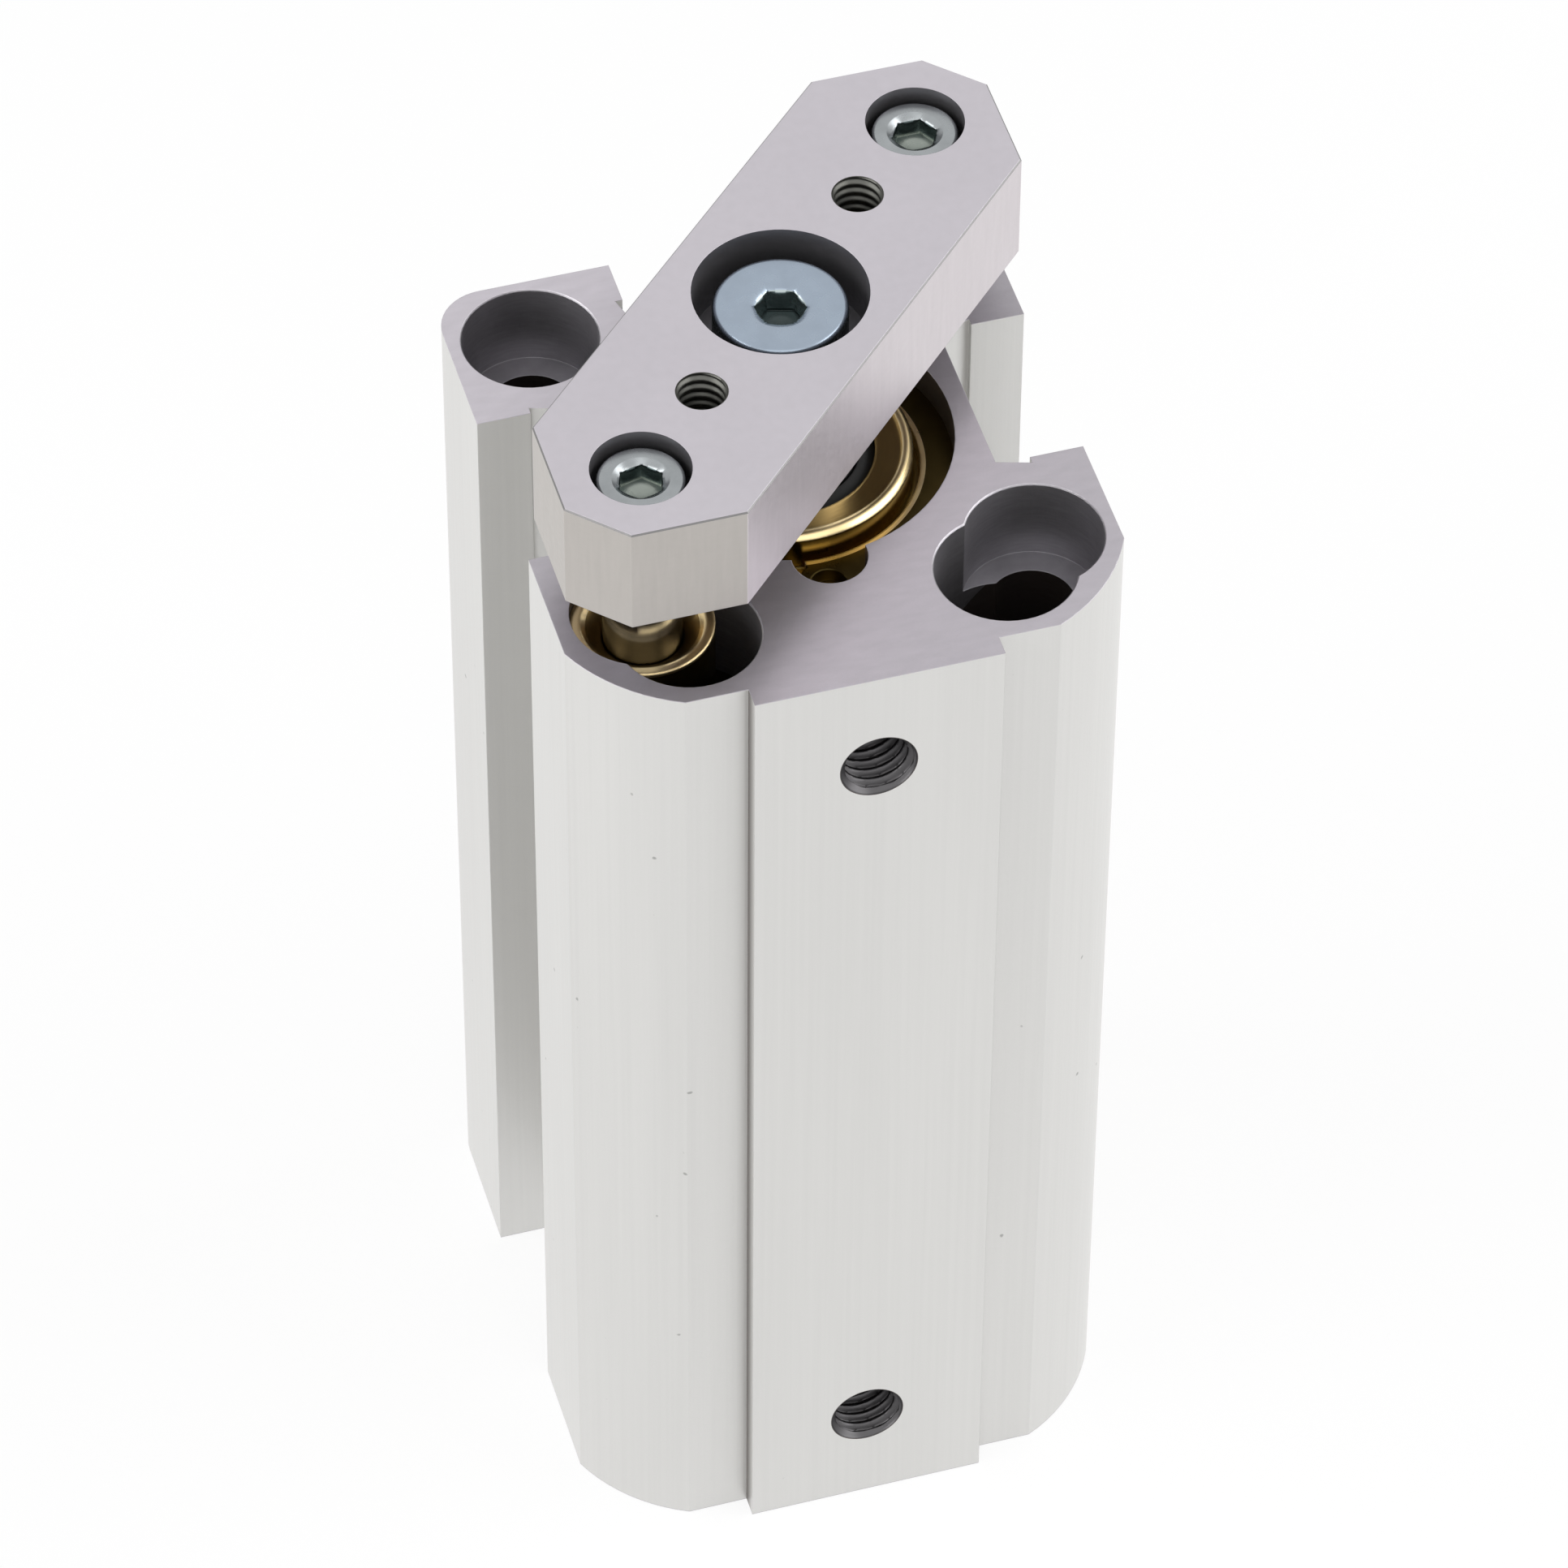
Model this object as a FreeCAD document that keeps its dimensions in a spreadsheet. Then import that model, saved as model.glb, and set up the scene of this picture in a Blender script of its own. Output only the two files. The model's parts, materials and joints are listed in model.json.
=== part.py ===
"""Guided pneumatic cylinder: 20 mm bore, 50 mm stroke, shown retracted.

The frame has its origin on the bore axis in the base face, +Z along the stroke towards the
tool plate and -Y towards the air ports.  Every size is in millimetres.
"""
import FreeCAD
import Part
import math
import os

import Sketcher

DRIVING_SIZES = (
    ("stroke", 50.0, "travel of the tool plate"),
    ("bore_dia", 20.0, "cylinder bore"),
    ("rod_dia", 10.0, "piston rod"),
    ("guide_rod_dia", 5.0, "guide rods"),
    ("corner_pitch", 25.5, "square pitch of the mounting holes"),
    ("guide_pitch", 24.9, "square pitch of the guide rods"),
    ("run_gap", 0.06, "radial clearance of sliding fits"),
    ("seat_gap", 0.03, "radial clearance of parts that do not move on each other"),
    ("stop_gap", 0.1, "play of the piston at either end of its stroke"),
    ("side_wall", 0.85, "barrel wall between a corner counterbore and the side faces"),
    ("back_wall", 0.65, "barrel wall between a corner counterbore and the back face"),
    ("front_wall", 1.1, "barrel wall in front of the relief pockets"),
    ("pad_width", 16.0, "port pad"),
    ("pad_stand", 1.4, "height of the port pad over the front face"),
    ("front_corner_leg", 6.0, "size of the bevelled front corners"),
    ("front_corner_radius", 12.0, "dome of the bevelled front corners"),
    ("back_corner_radius", 3.2, "rounding of the back corners"),
    ("slot_wall", 0.8, "barrel wall between a retaining ring groove and the sensor slots"),
    ("slot_mouth", 12.4, "opening between the lips of a sensor slot"),
    ("slot_width", 13.4, "width of a sensor slot under its lips"),
    ("slot_floor_width", 12.1, "width of a sensor slot at its floor"),
    ("slot_depth", 2.2, "height of a sensor slot under its lips"),
    ("mount_hole_dia", 5.5, "mounting holes"),
    ("counterbore_dia", 8.8, "screw head recess of the mounting holes"),
    ("counterbore_depth", 6.0, "depth of that recess"),
    ("relief_dia", 9.0, "relief pockets beside the front corner holes"),
    ("relief_depth", 12.0, "depth of the relief pockets"),
    ("relief_offset", 10.2, "relief pockets, sideways from the bore axis"),
    ("relief_setback", 15.0, "relief pockets, forwards of the bore axis"),
    ("rim_chamfer", 0.1, "broken edge of the corner holes"),
    ("port_dia", 5.0, "port thread"),
    ("port_depth", 6.0, "length of the port thread"),
    ("port_passage_dia", 2.2, "air passage from the port to the bore"),
    ("rod_port_inset", 7.8, "port axis below the rod end face"),
    ("head_port_inset", 8.0, "port axis above the base face"),
    ("cover_step", 1.0, "radial step from the bore to the cover seat"),
    ("cover_flange", 3.1, "thickness of the cover flanges"),
    ("cover_spigot", 3.0, "length of the cover spigots"),
    ("spigot_gap", 1.5, "air space around a cover spigot"),
    ("ring_thickness", 1.0, "retaining rings"),
    ("ring_width", 2.65, "radial width of the retaining rings"),
    ("ring_groove_depth", 0.5, "retaining ring grooves"),
    ("ring_opening", 2.6, "gap between the two ends of a retaining ring"),
    ("rod_ring_inset", 2.4, "retaining ring below the rod end face"),
    ("head_ring_inset", 1.2, "retaining ring above the base face"),
    ("ear_dia", 3.8, "eye of the retaining rings"),
    ("ear_hole_dia", 2.3, "plier hole in that eye"),
    ("notch_dia", 4.8, "plier notch in the barrel"),
    ("boss_gap", 0.45, "from the retaining ring to the rod cover's boss"),
    ("boss_inset", 0.75, "top of that boss below the rod end face"),
    ("boss_rim", 0.7, "rim of that boss"),
    ("boss_recess", 0.35, "turned recess inside that rim"),
    ("boss_chamfer", 0.3, "outer edge of that boss"),
    ("wiper_section", 1.0, "radial width of the rod wiper"),
    ("wiper_height", 1.2, "rod wiper"),
    ("seal_land", 0.9, "rod cover wall between the wiper and the rod seal"),
    ("rod_seal_section", 2.0, "radial width of the rod seal"),
    ("rod_seal_height", 2.4, "rod seal"),
    ("o_ring_groove_depth", 1.1, "O-ring grooves of the covers"),
    ("o_ring_groove_width", 1.6, "O-ring grooves of the covers"),
    ("head_recess_dia", 12.0, "turned recess in the head cover's outer face"),
    ("head_recess_depth", 0.8, "depth of that recess"),
    ("bush_dia", 9.0, "guide bushes"),
    ("bush_length", 20.0, "guide bushes"),
    ("bush_inset", 0.9, "guide bushes below the rod end face"),
    ("bush_rim", 0.6, "rim at the mouth of a guide bush"),
    ("bush_recess", 1.2, "dished mouth of a guide bush"),
    ("guide_hole_gap", 0.8, "from a guide rod to the barrel below its bush"),
    ("guide_rod_inset", 5.0, "lower end of the guide rods above the base face"),
    ("end_chamfer", 0.4, "broken ends of the rods"),
    ("piston_gap", 0.3, "radial clearance of the piston's metal"),
    ("piston_end_land", 1.05, "piston wall outside its outer grooves"),
    ("piston_land", 0.8, "piston walls between its grooves"),
    ("piston_seal_height", 2.4, "piston seal"),
    ("piston_seal_depth", 2.1, "groove of the piston seal"),
    ("wear_ring_height", 2.0, "piston wear ring"),
    ("wear_ring_depth", 0.9, "groove of the wear ring"),
    ("magnet_height", 2.4, "piston magnet"),
    ("magnet_cover", 0.2, "magnet below the piston's outside"),
    ("hub_dia", 12.0, "piston hub inside the magnet"),
    ("rod_spigot_dia", 6.0, "end of the rod that carries the piston"),
    ("bumper_share", 0.53, "rubber bumpers, over the width between the rod and the piston's outside"),
    ("bumper_height", 1.2, "rubber bumpers"),
    ("bumper_stand", 0.5, "how far the bumpers stand out of the piston"),
    ("plate_clearance", 4.5, "from the barrel to the tool plate when retracted"),
    ("plate_thickness", 8.0, "tool plate"),
    ("plate_band", 15.0, "width of the tool plate across its diagonal"),
    ("plate_margin", 5.4, "from a guide rod's axis to the plate's square outline"),
    ("plate_corner_cut", 3.3, "cut corners of that outline"),
    ("plate_chamfer", 0.1, "broken edges of the tool plate"),
    ("tool_hole_pcd", 20.0, "pitch circle of the threaded holes in the tool plate"),
    ("tool_hole_dia", 3.3, "threaded holes in the tool plate"),
    ("rod_screw_dia", 5.0, "centre screw"),
    ("rod_screw_length", 12.0, "centre screw under its head"),
    ("rod_screw_head_dia", 8.5, "centre screw"),
    ("rod_screw_head", 3.5, "centre screw"),
    ("rod_screw_socket", 3.0, "hexagon socket of the centre screw, across flats"),
    ("rod_screw_sink", 1.05, "centre screw below the plate's top face"),
    ("rod_screw_side", 1.3, "recess around the head of the centre screw"),
    ("guide_screw_dia", 3.0, "guide rod screws"),
    ("guide_screw_length", 8.0, "guide rod screws under their heads"),
    ("guide_screw_head_dia", 5.5, "guide rod screws"),
    ("guide_screw_head", 3.0, "guide rod screws"),
    ("guide_screw_socket", 2.5, "hexagon sockets of the guide rod screws"),
    ("guide_screw_sink", 0.4, "guide rod screws below the plate's top face"),
    ("guide_screw_side", 0.4, "recess around the heads of the guide rod screws"),
    ("screw_edge", 0.25, "chamfered edge of the screw heads"),
    ("socket_depth_share", 0.55, "hexagon socket depth over head height"),
    ("screw_hole_reserve", 1.5, "free thread below the end of a screw"),
)

doc = FreeCAD.newDocument("GuidedCylinder")
sheet = doc.addObject("Spreadsheet::Sheet", "Sizes")
for row, (alias, value, meaning) in enumerate(DRIVING_SIZES, start=1):
    sheet.set(f"A{row}", alias)
    sheet.set(f"B{row}", str(value))
    sheet.setAlias(f"B{row}", alias)
    sheet.set(f"C{row}", meaning)
doc.recompute()


# Sizes that follow from the driving ones, as expressions on the sheet.
def size(alias):
    return f"Sizes.{alias}"


def added(*terms):
    return "(" + " + ".join(terms) + ")"


def less(first, *others):
    return "(" + " - ".join((first,) + others) + ")"


def half(term):
    return f"({term} / 2)"


def minus(term):
    return f"(-1 * {term})"


def number(expression):
    """Return the value that an expression has now."""
    return float(sheet.evalExpression(expression))


HALF_PITCH = half(size("corner_pitch"))
GUIDE_AXIS = half(size("guide_pitch"))
BORE_R = half(size("bore_dia"))
ROD_R = half(size("rod_dia"))
GUIDE_ROD_R = half(size("guide_rod_dia"))
SEAT_R = added(BORE_R, size("cover_step"))
RING_GROOVE_R = added(SEAT_R, size("ring_groove_depth"))
RING_INNER_R = less(RING_GROOVE_R, size("ring_width"))
BOSS_R = less(RING_INNER_R, size("boss_gap"))
SPIGOT_R = less(BORE_R, size("spigot_gap"))
SLIDE_ROD_R = added(ROD_R, size("run_gap"))

ROD_SEAT_DEPTH = added(size("rod_ring_inset"), size("ring_thickness"), size("cover_flange"))
HEAD_SEAT = added(size("head_ring_inset"), size("ring_thickness"), size("cover_flange"))
PISTON_HEAD_PART = added(size("piston_end_land"), size("wear_ring_height"), size("piston_land"))
PISTON_MAGNET_TOP = added(PISTON_HEAD_PART, size("magnet_height"))
PISTON_SEAL_Z = added(PISTON_MAGNET_TOP, size("piston_land"))
PISTON_SEAL_TOP = added(PISTON_SEAL_Z, size("piston_seal_height"))
PISTON_LENGTH = added(PISTON_SEAL_TOP, size("piston_end_land"))
PISTON_Z = added(HEAD_SEAT, size("cover_spigot"), size("stop_gap"), size("bumper_stand"))
BARREL_LENGTH = added(PISTON_Z, PISTON_LENGTH, size("bumper_stand"), size("stroke"),
                      size("stop_gap"), size("cover_spigot"), ROD_SEAT_DEPTH)
ROD_SEAT = less(BARREL_LENGTH, ROD_SEAT_DEPTH)
PLATE_Z = added(BARREL_LENGTH, size("plate_clearance"))
PLATE_TOP = added(PLATE_Z, size("plate_thickness"))

COUNTERBORE_R = half(size("counterbore_dia"))
SIDE_X = added(HALF_PITCH, COUNTERBORE_R, size("side_wall"))
BACK_Y = added(HALF_PITCH, COUNTERBORE_R, size("back_wall"))
FRONT_Y = added(size("relief_setback"), half(size("relief_dia")), size("front_wall"))
PAD_Y = added(FRONT_Y, size("pad_stand"))
SLOT_FLOOR = added(RING_GROOVE_R, size("slot_wall"))
SLOT_LIP = added(SLOT_FLOOR, size("slot_depth"))
SLOT_REACH = added(SIDE_X, size("slot_depth"))


# Tools for sketches and features.
def origin_plane(body, role):
    for feature in body.Origin.OriginFeatures:
        if feature.Role == role:
            return feature
    raise RuntimeError("no plane " + role)


def new_body(label, place=("0", "0", "0")):
    body = doc.addObject("PartDesign::Body", label)
    body.Label = label
    for axis, expression in zip("xyz", place):
        body.setExpression("Placement.Base." + axis, expression)
    return body


def new_sketch(body, name, plane, lift="0"):
    """Return an empty sketch on an origin plane of the body, lifted along its normal."""
    sketch = body.newObject("Sketcher::SketchObject", name)
    sketch.AttachmentSupport = (origin_plane(body, plane), "")
    sketch.MapMode = "FlatFace"
    sketch.setExpression("AttachmentOffset.Base.z", lift)
    return sketch


def bind(sketch, constraint, expression):
    index = sketch.addConstraint(constraint)
    sketch.setExpression(f"Constraints[{index}]", expression)


def pin_point(sketch, geometry, end, x, y):
    """Place one point of a sketch at two expressions."""
    bind(sketch, Sketcher.Constraint("DistanceX", -1, 1, geometry, end, number(x)), x)
    bind(sketch, Sketcher.Constraint("DistanceY", -1, 1, geometry, end, number(y)), y)


def draw_outline(sketch, corners):
    """Draw a closed outline from (x, y) corners.

    A corner with a third item starts an arc of that radius to the next corner, which bulges
    to the right of the way from one to the other: outwards on an anticlockwise outline.
    """
    places = [FreeCAD.Vector(number(corner[0]), number(corner[1]), 0) for corner in corners]
    for index, corner in enumerate(corners):
        start = places[index]
        end = places[(index + 1) % len(places)]
        if len(corner) == 2:
            sketch.addGeometry(Part.LineSegment(start, end))
        else:
            radius = number(corner[2])
            chord = end - start
            outward = FreeCAD.Vector(chord.y, -chord.x, 0).normalize()
            rise = radius - math.sqrt(radius ** 2 - (chord.Length / 2) ** 2)
            sketch.addGeometry(Part.Arc(start, (start + end) / 2 + outward * rise, end))
            bind(sketch, Sketcher.Constraint("Radius", index, radius), corner[2])
    for index, corner in enumerate(corners):
        before = (index - 1) % len(corners)
        sketch.addConstraint(Sketcher.Constraint("Coincident", before, 2, index, 1))
        pin_point(sketch, index, 1, corner[0], corner[1])


def draw_circles(sketch, circles):
    """Draw circles given as (x, y, radius)."""
    for x, y, radius in circles:
        centre = FreeCAD.Vector(number(x), number(y), 0)
        shape = Part.Circle(centre, FreeCAD.Vector(0, 0, 1), number(radius))
        index = sketch.addGeometry(shape)
        bind(sketch, Sketcher.Constraint("Radius", index, number(radius)), radius)
        pin_point(sketch, index, 3, x, y)


def pad(body, name, sketch, length):
    feature = body.newObject("PartDesign::Pad", name)
    feature.Profile = sketch
    feature.setExpression("Length", length)
    doc.recompute()
    return feature


def pocket(body, name, sketch, depth=None):
    """Cut against the sketch's normal, right through where no depth is given."""
    before = body.Shape.Volume
    feature = body.newObject("PartDesign::Pocket", name)
    feature.Profile = sketch
    if depth is None:
        feature.Type = "ThroughAll"
    else:
        feature.setExpression("Length", depth)
    doc.recompute()
    if not body.Shape.Volume < before:
        raise RuntimeError(name + " cuts nothing")
    return feature


def turn(body, name, corners, kind="PartDesign::Revolution"):
    """Turn a closed (radius, height) outline about the body's Z axis."""
    sketch = new_sketch(body, name + "Section", "XZ_Plane")
    draw_outline(sketch, corners)
    feature = body.newObject(kind, name)
    feature.Profile = sketch
    feature.ReferenceAxis = (sketch, ["V_Axis"])
    feature.Angle = 360
    doc.recompute()
    return feature


def turned_part(label, corners, place=("0", "0", "0")):
    body = new_body(label, place)
    turn(body, "Turned", corners)
    return body


def sleeve(label, inner_r, outer_r, low, high, place=("0", "0", "0")):
    corners = [(inner_r, low), (outer_r, low), (outer_r, high), (inner_r, high)]
    return turned_part(label, corners, place)


def chamfer(body, name, base, size_expression, is_wanted):
    """Chamfer the edges of a feature that the test picks."""
    edges = enumerate(base.Shape.Edges, start=1)
    names = [f"Edge{index}" for index, edge in edges if is_wanted(edge)]
    feature = body.newObject("PartDesign::Chamfer", name)
    feature.Base = (base, names)
    feature.setExpression("Size", size_expression)
    doc.recompute()
    return feature


def lies_at(edge, height):
    tolerance = 1e-5
    return all(abs(vertex.Z - height) < tolerance for vertex in edge.Vertexes)


# Barrel: an extrusion with three sensor slots and a port pad, bored for two end covers.
def make_barrel():
    body = new_body("barrel")
    back_arc_x = less(SIDE_X, size("back_corner_radius"))
    back_arc_y = less(BACK_Y, size("back_corner_radius"))
    bevel_x = less(SIDE_X, size("front_corner_leg"))
    bevel_y = less(FRONT_Y, size("front_corner_leg"))
    pad_x = half(size("pad_width"))
    outline = new_sketch(body, "Outline", "XY_Plane")
    draw_outline(outline, [
        (minus(pad_x), minus(PAD_Y)),
        (pad_x, minus(PAD_Y)),
        (pad_x, minus(FRONT_Y)),
        (bevel_x, minus(FRONT_Y), size("front_corner_radius")),
        (SIDE_X, minus(bevel_y)),
        (SIDE_X, back_arc_y, size("back_corner_radius")),
        (back_arc_x, BACK_Y),
        (minus(back_arc_x), BACK_Y, size("back_corner_radius")),
        (minus(SIDE_X), back_arc_y),
        (minus(SIDE_X), minus(bevel_y), size("front_corner_radius")),
        (minus(bevel_x), minus(FRONT_Y)),
        (minus(pad_x), minus(FRONT_Y)),
    ])
    pad(body, "Extrusion", outline, BARREL_LENGTH)
    cut_sensor_slots(body)
    cut_bore(body)
    cut_corner_holes(body)
    cut_ports(body)
    return body


def cut_sensor_slots(body):
    """One undercut slot on the right, repeated on the back and the left."""
    mouth = half(size("slot_mouth"))
    wide = half(size("slot_width"))
    floor = half(size("slot_floor_width"))
    section = new_sketch(body, "SlotSection", "XY_Plane", BARREL_LENGTH)
    draw_outline(section, [
        (SLOT_REACH, minus(mouth)), (SLOT_REACH, mouth), (SLOT_LIP, mouth), (SLOT_LIP, wide),
        (SLOT_FLOOR, floor), (SLOT_FLOOR, minus(floor)), (SLOT_LIP, minus(wide)), (SLOT_LIP, minus(mouth)),
    ])
    slot = pocket(body, "Slot", section)
    pattern = body.newObject("PartDesign::PolarPattern", "Slots")
    pattern.Originals = [slot]
    pattern.Axis = (section, ["N_Axis"])
    pattern.Angle = 180
    pattern.Occurrences = 3
    body.Tip = pattern
    doc.recompute()


def cut_bore(body):
    """The bore, the seats of both covers and the grooves of their retaining rings."""
    head_ring_top = added(size("head_ring_inset"), size("ring_thickness"))
    rod_ring_top = less(BARREL_LENGTH, size("rod_ring_inset"))
    rod_ring_bottom = less(rod_ring_top, size("ring_thickness"))
    turn(body, "Bore", [
        ("0", "0"), (SEAT_R, "0"),
        (SEAT_R, size("head_ring_inset")), (RING_GROOVE_R, size("head_ring_inset")),
        (RING_GROOVE_R, head_ring_top), (SEAT_R, head_ring_top),
        (SEAT_R, HEAD_SEAT), (BORE_R, HEAD_SEAT), (BORE_R, ROD_SEAT), (SEAT_R, ROD_SEAT),
        (SEAT_R, rod_ring_bottom), (RING_GROOVE_R, rod_ring_bottom),
        (RING_GROOVE_R, rod_ring_top), (SEAT_R, rod_ring_top),
        (SEAT_R, BARREL_LENGTH), ("0", BARREL_LENGTH),
    ], "PartDesign::Groove")
    notch_r = half(size("notch_dia"))
    notches = (
        ("RodNotch", BARREL_LENGTH, added(size("rod_ring_inset"), size("ring_thickness"))),
        ("HeadNotch", head_ring_top, head_ring_top),
    )
    for name, top, depth in notches:
        circle = new_sketch(body, name + "Circle", "XY_Plane", top)
        draw_circles(circle, [("0", minus(SEAT_R), notch_r)])
        pocket(body, name, circle, depth)


def cut_corner_holes(body):
    """Mounting holes on one diagonal, guide holes on the other and two relief pockets."""
    mounts = ((minus(HALF_PITCH), HALF_PITCH), (HALF_PITCH, minus(HALF_PITCH)))
    guides = ((minus(GUIDE_AXIS), minus(GUIDE_AXIS)), (GUIDE_AXIS, GUIDE_AXIS))
    reliefs = (
        (minus(size("relief_offset")), minus(size("relief_setback"))),
        (size("relief_offset"), minus(size("relief_setback"))),
    )
    bush_pocket = added(size("bush_inset"), size("bush_length"))
    steps = (
        ("MountHoles", mounts, half(size("mount_hole_dia")), None),
        ("Counterbores", mounts, COUNTERBORE_R, size("counterbore_depth")),
        ("GuideHoles", guides, added(GUIDE_ROD_R, size("guide_hole_gap")), None),
        ("BushPockets", guides, added(half(size("bush_dia")), size("seat_gap")), bush_pocket),
        ("Reliefs", reliefs, half(size("relief_dia")), size("relief_depth")),
    )
    for name, places, radius, depth in steps:
        circles = new_sketch(body, name + "Circles", "XY_Plane", BARREL_LENGTH)
        draw_circles(circles, [(x, y, radius) for x, y in places])
        last = pocket(body, name, circles, depth)
    top = number(BARREL_LENGTH)
    pocket_radii = (number(COUNTERBORE_R), number(half(size("relief_dia"))))

    def is_pocket_rim(edge):
        if not lies_at(edge, top) or not isinstance(edge.Curve, Part.Circle):
            return False
        return any(abs(edge.Curve.Radius - radius) < 1e-4 for radius in pocket_radii)

    chamfer(body, "PocketRims", last, size("rim_chamfer"), is_pocket_rim)


def cut_ports(body):
    """A threaded mouth and a narrow air passage at each end of the port pad."""
    heights = (less(BARREL_LENGTH, size("rod_port_inset")), size("head_port_inset"))
    passage_depth = less(PAD_Y, half(BORE_R))
    steps = (
        ("PortThreads", half(size("port_dia")), size("port_depth")),
        ("PortPassages", half(size("port_passage_dia")), passage_depth),
    )
    for name, radius, depth in steps:
        circles = new_sketch(body, name + "Circles", "XZ_Plane", PAD_Y)
        draw_circles(circles, [("0", height, radius) for height in heights])
        pocket(body, name, circles, depth)


# End covers with their seals and retaining rings.
BOSS_TOP = less(ROD_SEAT_DEPTH, size("boss_inset"))
WIPER_TOP = less(BOSS_TOP, size("boss_recess"))
WIPER_LOW = less(WIPER_TOP, size("wiper_height"))
ROD_SEAL_TOP = less(WIPER_LOW, size("seal_land"))
ROD_SEAL_LOW = less(ROD_SEAL_TOP, size("rod_seal_height"))
WIPER_R = added(ROD_R, size("wiper_section"))
ROD_SEAL_R = added(ROD_R, size("rod_seal_section"))
AT_ROD_SEAT = ("0", "0", ROD_SEAT)


def make_rod_cover():
    """The rod's guide, with pockets for its seal and wiper and a boss through the ring."""
    flange_r = less(SEAT_R, size("seat_gap"))
    groove_r = less(flange_r, size("o_ring_groove_depth"))
    groove_low = half(less(size("cover_flange"), size("o_ring_groove_width")))
    groove_high = added(groove_low, size("o_ring_groove_width"))
    rim_r = less(BOSS_R, size("boss_rim"))
    inner_face = minus(size("cover_spigot"))
    return turned_part("rod_cover", [
        (SLIDE_ROD_R, inner_face), (SPIGOT_R, inner_face), (SPIGOT_R, "0"), (flange_r, "0"),
        (flange_r, groove_low), (groove_r, groove_low), (groove_r, groove_high), (flange_r, groove_high),
        (flange_r, size("cover_flange")), (BOSS_R, size("cover_flange")),
        (BOSS_R, less(BOSS_TOP, size("boss_chamfer"))), (less(BOSS_R, size("boss_chamfer")), BOSS_TOP),
        (rim_r, BOSS_TOP), (rim_r, WIPER_TOP), (WIPER_R, WIPER_TOP), (WIPER_R, WIPER_LOW),
        (SLIDE_ROD_R, WIPER_LOW), (SLIDE_ROD_R, ROD_SEAL_TOP), (ROD_SEAL_R, ROD_SEAL_TOP),
        (ROD_SEAL_R, ROD_SEAL_LOW), (SLIDE_ROD_R, ROD_SEAL_LOW),
    ], AT_ROD_SEAT)


def make_rod_wiper():
    """A wiper whose lip rises to the rod."""
    outer_r = less(WIPER_R, size("seat_gap"))
    shoulder = half(added(WIPER_LOW, WIPER_TOP))
    lip_r = added(SLIDE_ROD_R, size("run_gap"))
    return turned_part("rod_wiper", [
        (SLIDE_ROD_R, WIPER_LOW), (outer_r, WIPER_LOW), (outer_r, shoulder), (lip_r, WIPER_TOP),
        (SLIDE_ROD_R, WIPER_TOP),
    ], AT_ROD_SEAT)


def make_rod_seal():
    """A lip seal, open towards the pressure side."""
    outer_r = less(ROD_SEAL_R, size("seat_gap"))
    middle_r = half(added(SLIDE_ROD_R, outer_r))
    lip = half(less(middle_r, SLIDE_ROD_R))
    return turned_part("rod_seal", [
        (SLIDE_ROD_R, ROD_SEAL_LOW), (added(SLIDE_ROD_R, lip), ROD_SEAL_LOW),
        (middle_r, half(added(ROD_SEAL_LOW, ROD_SEAL_TOP))), (less(outer_r, lip), ROD_SEAL_LOW),
        (outer_r, ROD_SEAL_LOW), (outer_r, ROD_SEAL_TOP), (SLIDE_ROD_R, ROD_SEAL_TOP),
    ], AT_ROD_SEAT)


def make_head_cover():
    """A blind cover, seated from below."""
    flange_r = less(SEAT_R, size("seat_gap"))
    groove_r = less(flange_r, size("o_ring_groove_depth"))
    groove_high = minus(half(less(size("cover_flange"), size("o_ring_groove_width"))))
    groove_low = less(groove_high, size("o_ring_groove_width"))
    outer_face = minus(size("cover_flange"))
    recess_r = half(size("head_recess_dia"))
    recess_z = added(outer_face, size("head_recess_depth"))
    return turned_part("head_cover", [
        ("0", recess_z), (recess_r, recess_z), (recess_r, outer_face), (flange_r, outer_face),
        (flange_r, groove_low), (groove_r, groove_low), (groove_r, groove_high), (flange_r, groove_high),
        (flange_r, "0"), (SPIGOT_R, "0"), (SPIGOT_R, size("cover_spigot")), ("0", size("cover_spigot")),
    ], ("0", "0", HEAD_SEAT))


def make_o_ring(label, height):
    """An O-ring that fills its groove up to the barrel."""
    groove_r = less(SEAT_R, size("seat_gap"), size("o_ring_groove_depth"))
    ring = doc.addObject("Part::Torus", label)
    ring.Label = label
    ring.setExpression("Radius1", half(added(SEAT_R, groove_r)))
    ring.setExpression("Radius2", less(half(less(SEAT_R, groove_r)), size("seat_gap")))
    ring.setExpression("Placement.Base.z", height)
    doc.recompute()
    return ring


def make_retaining_ring(label, height):
    """A flat open ring with an eyed end in the plier notch."""
    body = new_body(label, ("0", "0", height))
    outer_r = less(RING_GROOVE_R, size("seat_gap"))
    thickness = size("ring_thickness")
    turn(body, "Band", [(RING_INNER_R, "0"), (outer_r, "0"), (outer_r, thickness), (RING_INNER_R, thickness)])
    ear_r = half(size("ear_dia"))
    gap_right = minus(half(ear_r))
    gap_left = less(gap_right, ear_r, size("ring_opening"))
    gap_far = minus(added(RING_GROOVE_R, size("ring_width")))
    gap_near = minus(half(RING_INNER_R))
    opening = new_sketch(body, "OpeningSection", "XY_Plane", thickness)
    draw_outline(opening, [
        (gap_left, gap_far), (gap_right, gap_far), (gap_right, gap_near), (gap_left, gap_near),
    ])
    pocket(body, "Opening", opening)
    ear = new_sketch(body, "EarCircle", "XY_Plane")
    draw_circles(ear, [("0", minus(SEAT_R), ear_r)])
    pad(body, "Ear", ear, thickness)
    hole = new_sketch(body, "EarHoleCircle", "XY_Plane", thickness)
    draw_circles(hole, [("0", minus(SEAT_R), half(size("ear_hole_dia")))])
    pocket(body, "EarHole", hole)
    return body


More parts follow.
